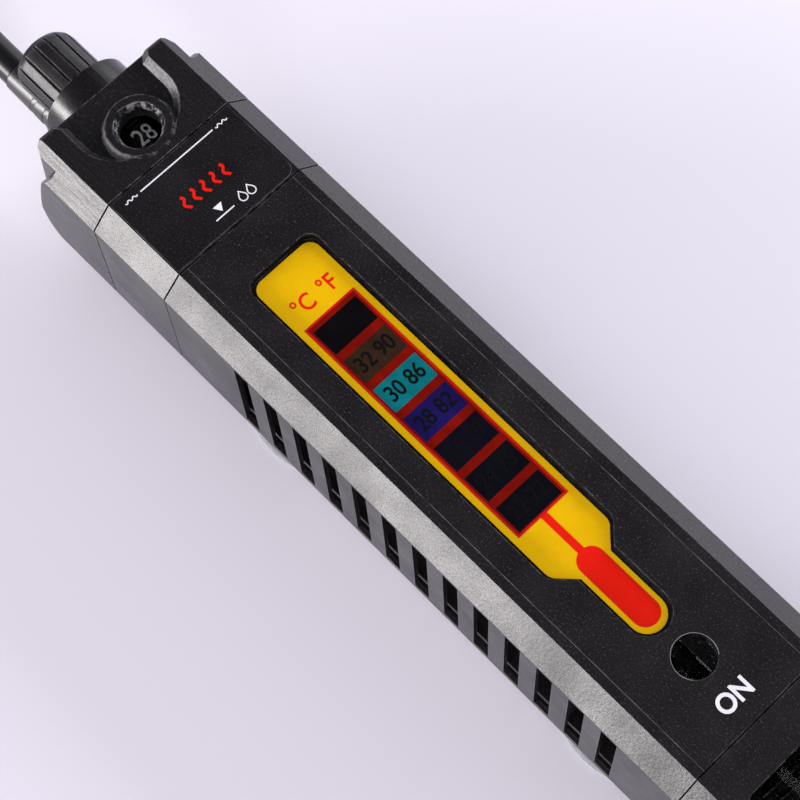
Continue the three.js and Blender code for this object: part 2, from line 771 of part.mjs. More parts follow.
// ----------------------------------------------------- cap, knob and mechanism

const xGasket = xTubeTop - fit - gasketThickness;
const xCapBack = xGasket - fit;
const xLobe = xCapFront + lobeSetBack;

function tubeCap() {
  const neck = rodX(xCapFront, xCapBack, capRadius, capRadius, 0, zAxis, 40);
  const rounding = turnedX([[capRadius - 0.8, xCapFront - 1], [capRadius + 2, xCapFront - 1],
    [capRadius + 2, xCapFront + 0.8], [capRadius, xCapFront + 0.8], [capRadius - 0.8, xCapFront],
    [capRadius - 0.8, xCapFront - 1]], 40);
  const lobe = pearBar(xLobe, xCapBack, 0);
  const plug = rodX(xCapBack - 1, xTubeTop + capPlugLength, boreRadius - fit, boreRadius - fit, 0, zAxis, 32);
  const shaftHole = rodX(xCapFront - 1, 0, shaftRadius + fit, shaftRadius + fit, 0, zAxis, 20);
  const sealSeat = rodX(xCapFront - 1, xCapFront + 2.4, shaftRadius + 1.9, shaftRadius + 1.9, 0, zAxis, 24);
  return cut(join(neck.subtract(rounding), lobe, plug), shaftHole, sealSeat);
}

function capGasket() {
  const ring = rodX(xGasket, xGasket + gasketThickness, tubeRadius, tubeRadius, 0, zAxis, 32);
  return ring.subtract(rodX(xGasket - 1, xTubeTop, boreRadius, boreRadius, 0, zAxis, 32));
}

function shaftSeal() {
  const ring = new THREE.TorusGeometry(shaftRadius + fit + 0.65, 0.6, 8, 20);
  return toSolid(ring.rotateY(Math.PI / 2).translate(xCapFront + 1.2, 0, zAxis));
}

// Fluted knob with a domed end and a blind bore for its shaft
function knob() {
  const x1 = xCapFront - fit;
  const inner = knobRadius - knobDome;
  const dome = [[0, xKnobTip]];
  const steps = 4;
  for (let i = 0; i <= steps; i += 1) {
    const angle = (i / steps) * Math.PI / 2;
    dome.push([inner + knobDome * Math.sin(angle), xKnobTip + knobDome * (1 - Math.cos(angle))]);
  }
  const body = turnedX([...dome, [knobRadius, x1], [0, x1]], 48);
  const flutes = [];
  for (let i = 0; i < knobFlutes; i += 1) {
    const flute = box(xKnobTip - 1, x1 + 1, -fluteWidth / 2, fluteWidth / 2,
      knobRadius - fluteDepth, knobRadius + 2);
    flutes.push(flute.rotate([(i + 0.5) * 360 / knobFlutes, 0, 0]).translate([0, 0, zAxis]));
  }
  const bore = rodX(x1 - knobLength * 0.55, x1 + 1, shaftRadius + fit, shaftRadius + fit, 0, zAxis, 20);
  return cut(body, ...flutes, bore);
}

const xDrum = xTubeTop + capPlugLength + fit;
const xDrumBack = xDrum + drumWidth;
const xNut = xDrumBack + 1.6;
const xCarrier = xNut - 1;

function adjustShaft() {
  const x0 = xCapFront - fit - knobLength * 0.55 + fit;
  const shaft = rodX(x0, xDrumBack + 0.6, shaftRadius, shaftRadius, 0, zAxis, 20);
  const thread = rodX(xDrumBack, xNut + nutThickness + 1.5, threadRadius, threadRadius, 0, zAxis, 16);
  return join(shaft, thread);
}

// Wheel that carries the temperature figures on its rim
function dialDrum() {
  const rim = rodX(xDrum, xDrumBack, drumRadius, drumRadius, 0, zAxis, 40);
  const hollow = turnedX([
    [shaftRadius + 1.6, xDrum + drumRim], [drumRadius - drumRim, xDrum + drumRim],
    [drumRadius - drumRim, xDrumBack + 1], [shaftRadius + 1.6, xDrumBack + 1],
    [shaftRadius + 1.6, xDrum + drumRim]], 32);
  const bore = rodX(xDrum - 1, xDrumBack + 1, shaftRadius + fit, shaftRadius + fit, 0, zAxis, 20);
  return cut(rim, hollow, bore);
}

// -------------------------------------------------------------- inside parts

const zCarrier = zAxis - carrierDrop;
const xCarrierEnd = xCarrier + carrierLength;
const xPost = xCarrierEnd - stripPostFromEnd - stripPostLength;
const xCoreEnd = xTubeEnd - tubeRadius - coreFromDome;
const xCore = xCoreEnd - coreLength;
const xDisc = xCore - fit - discThickness;
const xBoard = xCarrierEnd + fit;
const xBoardEnd = xDisc - fit;
const railHeight = nutSize * 0.55;

// Threaded block that the shaft drives along the carrier
function adjusterNut() {
  const block = box(xNut, xNut + nutThickness, -nutSize / 2, nutSize / 2, zCarrier + fit, zAxis + 3.2);
  return block.subtract(rodX(xNut - 1, xNut + nutThickness + 1, threadRadius + fit, threadRadius + fit, 0, zAxis, 16));
}

// Moulded bed of the thermostat: rails beside the nut and a post for the strips
function thermostatCarrier() {
  const bed = box(xCarrier, xCarrierEnd, -carrierWidth / 2, carrierWidth / 2,
    zCarrier - carrierThickness, zCarrier);
  const rails = [-1, 1].map((s) => {
    const inner = nutSize / 2 + fit;
    const outer = inner + 1.4;
    const [y0, y1] = s < 0 ? [-outer, -inner] : [inner, outer];
    return box(xCarrier, xCarrier + nutThickness + railOverrun, y0, y1, zCarrier - 0.5, zCarrier + railHeight);
  });
  const post = box(xPost, xPost + stripPostLength, -stripPostWidth / 2, stripPostWidth / 2,
    zCarrier - 0.5, zAxis - fit);
  const xContact = xNut + contactFromNut;
  const rest = box(xContact - 1.5, xContact + 1.5, -3, 3, zCarrier - 0.5, zCarrier + 1.6);
  return join(bed, ...rails, post, rest);
}

const zStrip = zAxis;

function bimetalStrip() {
  const t = bimetalThickness;
  const x0 = xNut + nutThickness + bimetalFromNut;
  const x1 = xCarrierEnd - stripPostFromEnd;
  const outline = polygon([
    [x0, zStrip], [x1, zStrip], [x1, zStrip + t], [x0 - t, zStrip + t],
    [x0 - t, zStrip - t * 0.7], [x0, zStrip - t * 0.7]]);
  return alongY(outline, -bimetalWidth / 2, bimetalWidth / 2);
}

function contactLeaf() {
  const x0 = xNut + leafFromNut;
  const z0 = zCarrier + 1.6 + fit;
  return box(x0, xPost - fit, -2.2, 2.2, z0, z0 + 0.4);
}

function fixedContact() {
  const z0 = zCarrier + 1.6 + fit + 0.4 + fit;
  return rodZ(z0, z0 + 0.9, contactRadius, contactRadius - 0.2, xNut + contactFromNut, 0, 12);
}

function movingContact() {
  return rodZ(zStrip - fit - 1.1, zStrip - fit, contactRadius - 0.2, contactRadius, xNut + contactFromNut, 0, 12);
}

function snapMagnet() {
  const x0 = xNut + magnetFromNut;
  return box(x0, x0 + magnetLength, -2.4, 2.4, zStrip + 0.6 + fit, zStrip + 0.6 + fit + 2.4);
}

const zBoard = zCarrier;

// Insulating spine between the thermostat and the heating core
function spineBoard() {
  return box(xBoard, xBoardEnd, -boardWidth / 2, boardWidth / 2, zBoard - boardThickness, zBoard);
}

function suppressorCapacitor() {
  const x0 = xBoard + capacitorFromBoard;
  const y = capacitorWidth / 2;
  const z0 = zBoard + fit;
  return alongX(roundRectangle(-y, y, z0, z0 + capacitorHeight, 1.2), x0, x0 + capacitorLength, 2);
}

const xLamp = xCap - pilotHoleFromCap - lampLength / 2;
const zLamp = zAxis + boreRadius - lampRadius - 0.8;

// Neon lamp right under the pilot hole, on a stand from the spine board
function pilotLamp() {
  return turnedX([
    [0, xLamp - lampRadius * 0.5], [lampRadius * 0.7, xLamp], [lampRadius, xLamp + 1.4],
    [lampRadius, xLamp + lampLength - 1], [lampRadius * 0.8, xLamp + lampLength],
    [0, xLamp + lampLength]], 16, zLamp);
}

function lampStand() {
  const x0 = xLamp + 2;
  const x1 = xLamp + lampLength - 2;
  const stand = box(x0, x1, -2.4, 2.4, zBoard + fit, zLamp);
  return stand.subtract(rodX(x0 - 1, x1 + 1, lampRadius + fit, lampRadius + fit, 0, zLamp, 16));
}

function lampResistor() {
  const x1 = xLamp - resistorFromLamp;
  return rodX(x1 - resistorLength, x1, resistorRadius, resistorRadius, 0, zBoard + fit + resistorRadius, 12);
}

function leadWire(y) {
  const z = zBoard + fit + wireRadius;
  return rodX(xBoard + 1, xBoardEnd - 1, wireRadius, wireRadius, y, z, 8);
}

// Supply wires run under the dial drum, from the cap to the carrier
function supplyWire(y) {
  const reach = (drumRadius + boreRadius) / 2;
  const z = zAxis - Math.sqrt(reach * reach - y * y);
  const radius = (boreRadius - drumRadius) / 2 - fit;
  return rodX(xTubeTop + capPlugLength + fit, xCarrier - fit, radius, radius, y, z, 8);
}

function insulatingDisc(x) {
  const disc = rodX(x, x + discThickness, discRadius, discRadius, 0, zAxis, 24);
  const hole = rodX(x - 1, x + discThickness + 1, 1.6, 1.6, 0, zAxis, 10);
  return disc.subtract(hole);
}

function heatingCore() {
  const core = rodX(xCore, xCoreEnd, coreRadius, coreRadius, 0, zAxis, 24);
  const bore = rodX(xCore - 1, xCoreEnd + 1, 1.6, 1.6, 0, zAxis, 10);
  return core.subtract(bore);
}

// Resistance wire wound round the core
function heatingWinding() {
  const steps = windingTurns * 8;
  const run = coreLength - 4;
  const points = [];
  for (let i = 0; i <= steps; i += 1) {
    const angle = (i / 8) * Math.PI * 2;
    points.push(new THREE.Vector3(xCore + 2 + run * i / steps,
      windingRadius * Math.sin(angle), zAxis + windingRadius * Math.cos(angle)));
  }
  return sweep(points, windingWireRadius, 5);
}

// ---------------------------------------------------------------------- cord

// Tapered rubber sleeve where the cord leaves the tube cap
function strainRelief() {
  const root = xCapFront - fit;
  const body = rodX(root - reliefLength, root, reliefTipRadius, reliefRootRadius, cordAcross, -cordDepth, 20);
  const grooves = [];
  for (let i = 0; i < 3; i += 1) {
    const x = root - 4 - i * 4;
    const ring = rodX(x, x + 1.2, reliefRootRadius + 1, reliefRootRadius + 1, cordAcross, -cordDepth, 20);
    grooves.push(ring.subtract(rodX(x - 1, x + 2.2, cordRadius + 0.35, cordRadius + 0.35,
      cordAcross, -cordDepth, 20)));
  }
  return cut(body, ...grooves);
}

const zTable = -standHeight;
const zCordLow = zTable + cordRadius + 0.05;
const xCord = xCapFront - fit - reliefLength - fit;
const hankOuterRadius = hankInnerRadius + hankPitch * hankLayerTurns;
const yHank = half - tieThickness - tieClearance - cordRadius - hankOuterRadius;

const ease = (share) => (1 - Math.cos(Math.PI * Math.min(Math.max(share, 0), 1))) / 2;

// The free stretch leaves straight, sinks to the surface and swings to the hank
function powerCord() {
  const x1 = -hankFromSeam + hankLeadIn + fit / 2;
  const points = [];
  const steps = 20;
  for (let i = 0; i <= steps; i += 1) {
    const x = xCord + (x1 - xCord) * i / steps;
    const gone = ease((-cordStraight - x) / cordDropLength);
    points.push(new THREE.Vector3(x, cordAcross + (yHank + hankOuterRadius - cordAcross) * gone,
      -cordDepth + (zCordLow + cordDepth) * gone));
  }
  return sweep(points, cordRadius, 10);
}

// The folded cord after so many turns. Each layer runs inwards or outwards over
// the one below: along the near run, round the far fold, back, and round again.
function hankAt(turn) {
  const layer = turn / hankLayerTurns;
  const swing = Math.abs(((layer + 1) % 2 + 2) % 2 - 1);
  const radius = hankInnerRadius + (hankOuterRadius - hankInnerRadius) * (1 - swing);
  let rise = 0;
  for (let k = 1; k < hankTurns / hankLayerTurns; k += 1) {
    rise += hankLayerPitch * ease((turn - k * hankLayerTurns) / hankClimbTurns + 0.5);
  }
  const place = turn % 1;
  const fold = (from) => Math.PI / 2 + ((place - from) / 0.3) * Math.PI;
  let x = 0;
  let y = radius;
  if (place < 0.2) {
    x = -hankRun * place / 0.2;
  } else if (place < 0.5) {
    x = -hankRun + radius * Math.cos(fold(0.2));
    y = radius * Math.sin(fold(0.2));
  } else if (place < 0.7) {
    x = -hankRun * (0.7 - place) / 0.2;
    y = -radius;
  } else {
    x = radius * Math.cos(fold(0.7) + Math.PI);
    y = radius * Math.sin(fold(0.7) + Math.PI);
  }
  const fromTie = y > 0 ? (x + hankRun / 2) / 17 : Infinity;
  const lift = tieLift * Math.exp(-(fromTie ** 2));
  return new THREE.Vector3(x - hankFromSeam, yHank + y, zCordLow + rise + lift);
}

const zHankTop = zCordLow + hankLayerPitch * (hankLayers - 1) + cordRadius;
const zPlug = zHankTop + fit + plugThickness / 2;

function hankPoints() {
  const start = hankAt(0);
  const points = [hankLeadIn - fit / 2, hankLeadIn / 2].map((x) => start.clone().setX(start.x + x));
  points.forEach((p) => p.setZ(zCordLow));
  const perTurn = 30;
  const steps = Math.round(hankTurns * perTurn);
  for (let i = 0; i <= steps; i += 1) points.push(hankAt(hankTurns * i / steps));
  const last = points[points.length - 1];
  const slope = (last.z - points[points.length - 2].z) / (last.x - points[points.length - 2].x);
  const tailSteps = 8;
  for (let i = 1; i <= tailSteps; i += 1) {
    const u = i / tailSteps;
    const settle = 3 * u ** 2 - 2 * u ** 3;
    const drift = slope * hankTailRise * (u - 2 * u ** 2 + u ** 3);
    points.push(new THREE.Vector3(last.x + hankTailRise * u, last.y + hankTailShift * settle,
      last.z + drift + (zPlug - last.z) * settle));
  }
  const end = points[points.length - 1];
  points.push(end.clone().setX(end.x + hankTailStraight));
  return points;
}

// Clear distance between stretches of the hank that are not neighbours on the cord
function hankClearance() {
  const points = hankPoints();
  let least = Infinity;
  for (let i = 0; i < points.length; i += 1) {
    for (let j = i + 12; j < points.length - 1; j += 1) {
      const a = points[j];
      const run = points[j + 1].clone().sub(a);
      const t = Math.min(Math.max(points[i].clone().sub(a).dot(run) / run.lengthSq(), 0), 1);
      least = Math.min(least, points[i].distanceTo(a.clone().addScaledVector(run, t)));
    }
  }
  return least - 2 * cordRadius;
}

function cordHank() {
  return sweep(hankPoints(), cordRadius, 6);
}

// Flat band round the runs on the near side
function cordTie() {
  const clear = cordRadius + tieClearance;
  const y0 = yHank + hankInnerRadius - clear;
  const y1 = yHank + hankOuterRadius + clear;
  const z0 = zCordLow + tieLift - clear;
  const z1 = zHankTop - cordRadius + tieLift + clear;
  const x = -hankFromSeam - hankRun / 2;
  const t = tieThickness;
  const band = alongX(roundRectangle(y0 - t, y1 + t, z0 - t, z1 + t, 3), x - tieWidth / 2, x + tieWidth / 2, 4);
  const space = alongX(roundRectangle(y0, y1, z0, z1, 2), x - tieWidth, x + tieWidth, 4);
  return band.subtract(space);
}

// The plug is drawn along +x from its cord end, then laid on the hank
function layPlug(solid) {
  const end = hankPoints().pop();
  return solid.translate([end.x, end.y, end.z]);
}

function plugBody() {
  const x0 = fit + plugNeckLength;
  const x1 = x0 + plugLength;
  const w = plugWidth / 2;
  const outline = new THREE.Shape();
  outline.moveTo(x0 - 1, -plugNeckRadius);
  outline.quadraticCurveTo(x0 + plugLength * 0.35, -plugNeckRadius - 1, x0 + plugLength * 0.45, -w);
  outline.lineTo(x1 - 2, -w);
  outline.quadraticCurveTo(x1, -w, x1, -w + 2);
  outline.lineTo(x1, w - 2);
  outline.quadraticCurveTo(x1, w, x1 - 2, w);
  outline.lineTo(x0 + plugLength * 0.45, w);
  outline.quadraticCurveTo(x0 + plugLength * 0.35, plugNeckRadius + 1, x0 - 1, plugNeckRadius);
  const body = alongZ(outline, -plugThickness / 2 + 0.6, plugThickness / 2 - 0.6, 5);
  const rib = alongZ(outline, -plugThickness / 2, plugThickness / 2, 5)
    .intersect(box(x0 + plugLength * 0.5, x1 - 3, -w + 2, w - 2, -plugThickness, plugThickness));
  const neck = rodX(fit, x0 + 3, cordRadius + 0.6, plugNeckRadius, 0, 0, 20);
  const holes = [-1, 1].map((s) => rodX(x1 - pinSunk - fit, x1 + 1, pinRadius + fit, pinRadius + fit, s * pinSpacing / 2, 0, 16));
  return layPlug(cut(join(body, rib, neck), ...holes));
}

function plugPin(sign) {
  const x1 = fit + plugNeckLength + plugLength;
  const pin = rodX(x1 - pinSunk, x1 + pinLength - 1.5, pinRadius, pinRadius, sign * pinSpacing / 2, 0, 16);
  const tip = rodX(x1 + pinLength - 1.6, x1 + pinLength, pinRadius, pinRadius * 0.5, sign * pinSpacing / 2, 0, 16);
  return layPlug(join(pin, tip));
}

function lengthOf(points) {
  return points.slice(1).reduce((sum, p, i) => sum + p.distanceTo(points[i]), 0);
}

console.log('hank clearance, mm:', hankClearance().toFixed(2), 'hank cord, mm:', lengthOf(hankPoints()).toFixed(0));

// ------------------------------------------------------------------ assembly

place(heater, 'head_cap', headCap(), plastic);
place(heater, 'label_collar', labelCollar(), plastic);
place(heater, 'guard_shell', guardShell(), plastic);
place(heater, 'end_cap', endCap(), plastic);
place(heater, 'back_plate', backPlate(), plastic);
postPlaces.forEach((spot, i) => place(heater, `back_screw_${i + 1}`, backScrew(spot), steel));
place(heater, 'thermometer_strip', thermometerStrip(), stripYellow);
place(heater, 'upper_suction_cup', suctionCup(cupPlaces.upper), clearRubber);
place(heater, 'lower_suction_cup', suctionCup(cupPlaces.lower), clearRubber);
place(heater, 'glass_tube', glassTube(), glass);
place(heater, 'upper_tube_cushion', tubeCushion(xCollar + cushionFromSeam), rubber);
place(heater, 'lower_tube_cushion', tubeCushion(xCollar + lowerCushionFromSeam), rubber);
place(heater, 'foot_pad', footPad(), rubber);
place(heater, 'tube_cap', tubeCap(), glossBlack);
place(heater, 'cap_gasket', capGasket(), rubber);
place(heater, 'shaft_seal', shaftSeal(), rubber);
place(heater, 'knob', knob(), glossBlack);
place(heater, 'adjust_shaft', adjustShaft(), brass);
place(heater, 'dial_drum', dialDrum(), plastic);
place(heater, 'adjuster_nut', adjusterNut(), brass);
place(heater, 'thermostat_carrier', thermostatCarrier(), whitePlastic);
place(heater, 'bimetal_strip', bimetalStrip(), steel);
place(heater, 'contact_leaf', contactLeaf(), brass);
place(heater, 'fixed_contact', fixedContact(), brass);
place(heater, 'moving_contact', movingContact(), brass);
place(heater, 'snap_magnet', snapMagnet(), steel);
place(heater, 'spine_board', spineBoard(), whitePlastic);
place(heater, 'suppressor_capacitor', suppressorCapacitor(), whitePlastic);
place(heater, 'pilot_lamp', pilotLamp(), lampGlass);
place(heater, 'lamp_stand', lampStand(), whitePlastic);
place(heater, 'lamp_resistor', lampResistor(), ceramic);
place(heater, 'live_lead', leadWire(-4), brass);
place(heater, 'return_lead', leadWire(4), brass);
place(heater, 'live_supply_wire', supplyWire(-2), brass);
place(heater, 'neutral_supply_wire', supplyWire(2), brass);
place(heater, 'upper_insulating_disc', insulatingDisc(xDisc), ceramic);
place(heater, 'lower_insulating_disc', insulatingDisc(xCoreEnd + fit), ceramic);
place(heater, 'heating_core', heatingCore(), ceramic);
place(heater, 'heating_winding', heatingWinding(), steel);
place(heater, 'strain_relief', strainRelief(), rubber);
place(heater, 'power_cord', powerCord(), rubber);
place(heater, 'cord_hank', cordHank(), rubber);
place(heater, 'cord_tie', cordTie(), plastic);
place(heater, 'plug_body', plugBody(), rubber);
place(heater, 'live_pin', plugPin(-1), steel);
place(heater, 'neutral_pin', plugPin(1), steel);

export default part;
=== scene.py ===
"""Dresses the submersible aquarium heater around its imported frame.

Heater coordinates are millimetres: x along the body from the head's seam, y across
it, z 0 on the front face and negative behind it. at() turns them into the row frame.
"""
import math

import bmesh
import bpy
from mathutils import Matrix, Vector


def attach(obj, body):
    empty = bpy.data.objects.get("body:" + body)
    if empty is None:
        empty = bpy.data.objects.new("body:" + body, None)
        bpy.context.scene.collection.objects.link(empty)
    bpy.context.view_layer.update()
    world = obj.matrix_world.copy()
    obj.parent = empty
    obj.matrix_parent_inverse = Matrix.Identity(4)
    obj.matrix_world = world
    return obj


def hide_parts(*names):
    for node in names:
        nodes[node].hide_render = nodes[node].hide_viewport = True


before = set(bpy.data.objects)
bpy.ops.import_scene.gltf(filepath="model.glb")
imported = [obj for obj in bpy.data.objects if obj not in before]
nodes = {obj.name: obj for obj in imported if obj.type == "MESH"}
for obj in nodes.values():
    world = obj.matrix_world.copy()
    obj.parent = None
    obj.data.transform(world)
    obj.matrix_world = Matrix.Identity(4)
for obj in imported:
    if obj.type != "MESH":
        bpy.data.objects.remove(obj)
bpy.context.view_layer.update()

X_MIDDLE = 89.9
STAND = 45.0
TUBE_AXIS = -15.4
WINDOW_X = -9.0
HOLE_X = 144.2


def at(x, y, z):
    """A heater point in millimetres as a row-frame point in metres."""
    return Vector(((x - X_MIDDLE) / 1000, y / 1000, (z + STAND) / 1000))


def add(name, data):
    """A new object in the scene."""
    obj = bpy.data.objects.new(name, data)
    bpy.context.scene.collection.objects.link(obj)
    return obj


# ---------------------------------------------------------------- camera

# Place and axes as solved from the body's edges
CAMERA_PLACE = (0.09955, -0.10005, 0.45327)
CAMERA_RIGHT = (0.69381, 0.71943, -0.03240)
CAMERA_UP = (-0.66637, 0.65841, 0.34992)
CAMERA_BACK = (0.27307, -0.22119, 0.93622)
LENS = 102.69

camera_data = bpy.data.cameras.new("camera")
camera_data.lens = LENS
camera_data.sensor_width = 36
camera_data.clip_start = 0.01
camera = add("camera", camera_data)
turn = Matrix((CAMERA_RIGHT, CAMERA_UP, CAMERA_BACK)).transposed()
camera.matrix_world = Matrix.Translation(CAMERA_PLACE) @ turn.to_4x4()
bpy.context.scene.camera = camera
bpy.context.scene.view_settings.view_transform = "Standard"


# ------------------------------------------------------------- materials

class Nodes:
    """Short ways to add nodes to a material or the world."""

    def __init__(self, owner):
        owner.use_nodes = True
        self.tree = owner.node_tree

    def link(self, source, target):
        self.tree.links.new(source, target)

    def node(self, kind, inputs=None, **settings):
        """A node whose inputs take plain values or other nodes' outputs."""
        made = self.tree.nodes.new(kind)
        for key, value in settings.items():
            setattr(made, key, value)
        for key, value in (inputs or {}).items():
            if isinstance(value, bpy.types.NodeSocket):
                self.link(value, made.inputs[key])
            else:
                made.inputs[key].default_value = value
        return made

    def map_range(self, source, low, high, to_low=0.0, to_high=1.0):
        made = self.node("ShaderNodeMapRange", {
            "Value": source, "From Min": low, "From Max": high,
            "To Min": to_low, "To Max": to_high})
        return made.outputs["Result"]


class Surface(Nodes):
    """A material that is built up in steps."""

    EDGE_GAIN = 9.0
    WINDOW_RIM = 5.6  # millimetres

    def __init__(self, name, color, rough, **extra):
        self.mat = bpy.data.materials.new(name)
        super().__init__(self.mat)
        self.bsdf = self.tree.nodes["Principled BSDF"]
        self.bsdf.inputs["Base Color"].default_value = (*color, 1)
        self.bsdf.inputs["Roughness"].default_value = rough
        for key, value in extra.items():
            self.bsdf.inputs[key.replace("_", " ")].default_value = value
        self.coords = self.node("ShaderNodeTexCoord").outputs["Object"]
        self.last_normal = None

    def feed(self, name, source):
        """Links source to the shader's own input of that name."""
        self.link(source, self.bsdf.inputs[name])
        return self

    def noise(self, scale, detail=3.0, rough=0.55, along=1.0):
        """Noise of the given scale, drawn out along x where along is below 1."""
        drawn = self.node("ShaderNodeMapping", {"Vector": self.coords, "Scale": (along, 1, 1)})
        made = self.node("ShaderNodeTexNoise", {
            "Vector": drawn.outputs["Vector"], "Scale": scale, "Detail": detail,
            "Roughness": rough})
        return made.outputs["Fac"]

    def ramp(self, source, stops):
        """A colour ramp whose stops are places with a grey value or a colour."""
        made = self.node("ShaderNodeValToRGB", {"Fac": source})
        elements = made.color_ramp.elements
        while len(elements) < len(stops):
            elements.new(0.5)
        for element, (place, value) in zip(elements, stops):
            element.position = place
            color = value if isinstance(value, tuple) else (value, value, value)
            element.color = (*color, 1)
        return made.outputs["Color"]

    def calc(self, operation, first, second=0.0):
        """A Math node on sockets or plain numbers."""
        made = self.node("ShaderNodeMath", {0: first, 1: second}, operation=operation)
        return made.outputs[0]

    def colour(self, source, stops):
        return self.feed("Base Color", self.ramp(source, stops))

    def roughness(self, source, low, high):
        return self.feed("Roughness", self.ramp(source, [(0.3, low), (0.7, high)]))

    def bump(self, source, strength, distance):
        """Adds a bump on top of those that are there."""
        made = self.node("ShaderNodeBump", {
            "Strength": strength, "Distance": distance, "Height": source})
        if self.last_normal:
            self.link(self.last_normal, made.inputs["Normal"])
        self.last_normal = made.outputs["Normal"]
        return self.feed("Normal", self.last_normal)

    def rub(self, mask, tone):
        """Turns the base colour towards tone where mask is high; used for wear and painted light.
        """
        base = self.bsdf.inputs["Base Color"].links[0].from_socket
        made = self.node("ShaderNodeMix", {"Factor": mask, "A": base, "B": (*tone, 1)},
                         data_type="RGBA")
        return self.feed("Base Color", made.outputs["Result"])

    def edge_wear(self, reach, amount, pale):
        """Pale rubbed edges, found where a rounded normal leaves the face's own."""
        softened = self.node("ShaderNodeBevel", {"Radius": reach / 1000}, samples=4)
        face = self.node("ShaderNodeNewGeometry")
        agree = self.node("ShaderNodeVectorMath", {
            0: softened.outputs["Normal"], 1: face.outputs["Normal"]}, operation="DOT_PRODUCT")
        leaves = self.calc("SUBTRACT", 1.0, agree.outputs["Value"])
        edge = self.calc("MULTIPLY", leaves, self.EDGE_GAIN)
        patch = self.ramp(self.noise(420, 4, 0.7), [(0.42, 0.0), (0.62, amount)])
        return self.rub(self.calc("MINIMUM", self.calc("MULTIPLY", edge, patch), 1.0), pale)

    def window_radius(self):
        """Millimetres from the upright axis through the dial window."""
        flat = self.node("ShaderNodeMapping", {"Vector": self.coords, "Scale": (1, 1, 0)})
        away = self.node("ShaderNodeVectorMath", {
            0: flat.outputs["Vector"], 1: at(WINDOW_X, 0, -STAND)}, operation="DISTANCE")
        return self.calc("MULTIPLY", away.outputs["Value"], 1000.0)

    def rim_wear(self, inner, outer, amount, pale):
        """Scuffs on a ring round the dial window, also serving as a painted highlight."""
        off = self.calc("SUBTRACT", self.window_radius(), (inner + outer) / 2)
        ring = self.calc("LESS_THAN", self.calc("ABSOLUTE", off), (outer - inner) / 2)
        patch = self.ramp(self.noise(700, 4, 0.7), [(0.48, 0.0), (0.60, amount)])
        return self.rub(self.calc("MULTIPLY", ring, patch), pale)

    def wall_wear(self, amount, pale):
        """Painted highlight on drafted walls outside the window that lean back and face -y."""
        face = self.node("ShaderNodeNewGeometry")
        split = self.node("ShaderNodeSeparateXYZ", {0: face.outputs["True Normal"]})
        lean = self.ramp(split.outputs["Z"], [(0.20, 0.0), (0.30, 1.0), (0.56, 1.0), (0.64, 0.0)])
        toward = self.calc("MULTIPLY", split.outputs["Y"], -1.0)
        side = self.ramp(toward, [(0.55, 0.0), (0.80, amount)])
        outside = self.calc("GREATER_THAN", self.window_radius(), self.WINDOW_RIM)
        patch = self.ramp(self.noise(1200, 4, 0.7), [(0.38, 0.35), (0.60, 1.0)])
        wall = self.calc("MULTIPLY", self.calc("MULTIPLY", lean, side), outside)
        return self.rub(self.calc("MULTIPLY", wall, patch), pale)


def black_plastic(name, grain, rough, dust, wear):
    """Black moulded plastic: pebbled grain, soft blotches, pale dust and rubbed edges."""
    made = Surface(name, (0.007, 0.006, 0.0075), rough)
    made.roughness(made.noise(90, 2), rough - 0.05, rough + 0.06)
    made.colour(made.noise(2400, 3, 0.75), [
        (0.0, (0.0045, 0.0035, 0.005)), (0.52, (0.0065, 0.0052, 0.007)),
        (0.60, (0.011, 0.0095, 0.0115)), (0.68, (0.011 + dust, 0.0095 + dust, 0.0115 + dust))])
    pits = made.ramp(made.noise(3200, 2, 0.6), [(0.36, 0.42), (0.56, 0.60)])
    made.feed("Specular IOR Level", pits)
    made.edge_wear(0.5, wear, (0.16, 0.15, 0.16))
    return made.bump(made.noise(1300, 3), grain, 0.00012)


def plain(name, color, rough, shade=0.85, grain=0.15, shine=0.5, metal=0.0):
    """A moulded or cast surface with slight mottling and grain."""
    made = Surface(name, color, rough, Specular_IOR_Level=shine, Metallic=metal)
    darker = tuple(c * shade for c in color)
    made.colour(made.noise(220, 3), [(0.35, darker), (0.65, color)])
    return made.bump(made.noise(2400, 2), grain, 0.00003).mat


def clear(name, color, rough, ior, through=1.0):
    """Glass or clear plastic that lets the given share of light through."""
    made = Surface(name, color, rough, Transmission_Weight=through, IOR=ior)
    made.roughness(made.noise(150, 2), rough, rough + 0.06)
    return made.bump(made.noise(400, 1), 0.05, 0.00005).mat


satin = black_plastic("satin_black", grain=0.42, rough=0.34, dust=0.05, wear=0.2).mat
smooth = black_plastic("smooth_black", grain=0.30, rough=0.31, dust=0.03, wear=0.25).mat
gloss = black_plastic("gloss_black", grain=0.08, rough=0.25, dust=0.01, wear=0.3).mat
knob_black = black_plastic("knob_black", grain=0.16, rough=0.37, dust=0.02, wear=0.3).mat

# The head is brushed along the body, scuffed with painted highlight on the window's two rims,
# and given a painted highlight on its walls
head = black_plastic("rubbed_black_painted_highlight", grain=0.25, rough=0.30, dust=0.03, wear=0.55)
head.rim_wear(inner=4.5, outer=5.25, amount=0.8, pale=(0.34, 0.33, 0.35))
# The outer ring is mostly a painted highlight on the boss's rim
head.rim_wear(inner=6.7, outer=7.6, amount=0.5, pale=(0.12, 0.117, 0.125))
head.wall_wear(amount=0.95, pale=(0.17, 0.166, 0.172))
head.roughness(head.noise(2600, 4, 0.7, along=0.05), 0.24, 0.42)
head.bump(head.noise(2200, 4, 0.7, along=0.04), 0.35, 0.00010)
brushed_painted_highlight = head.mat

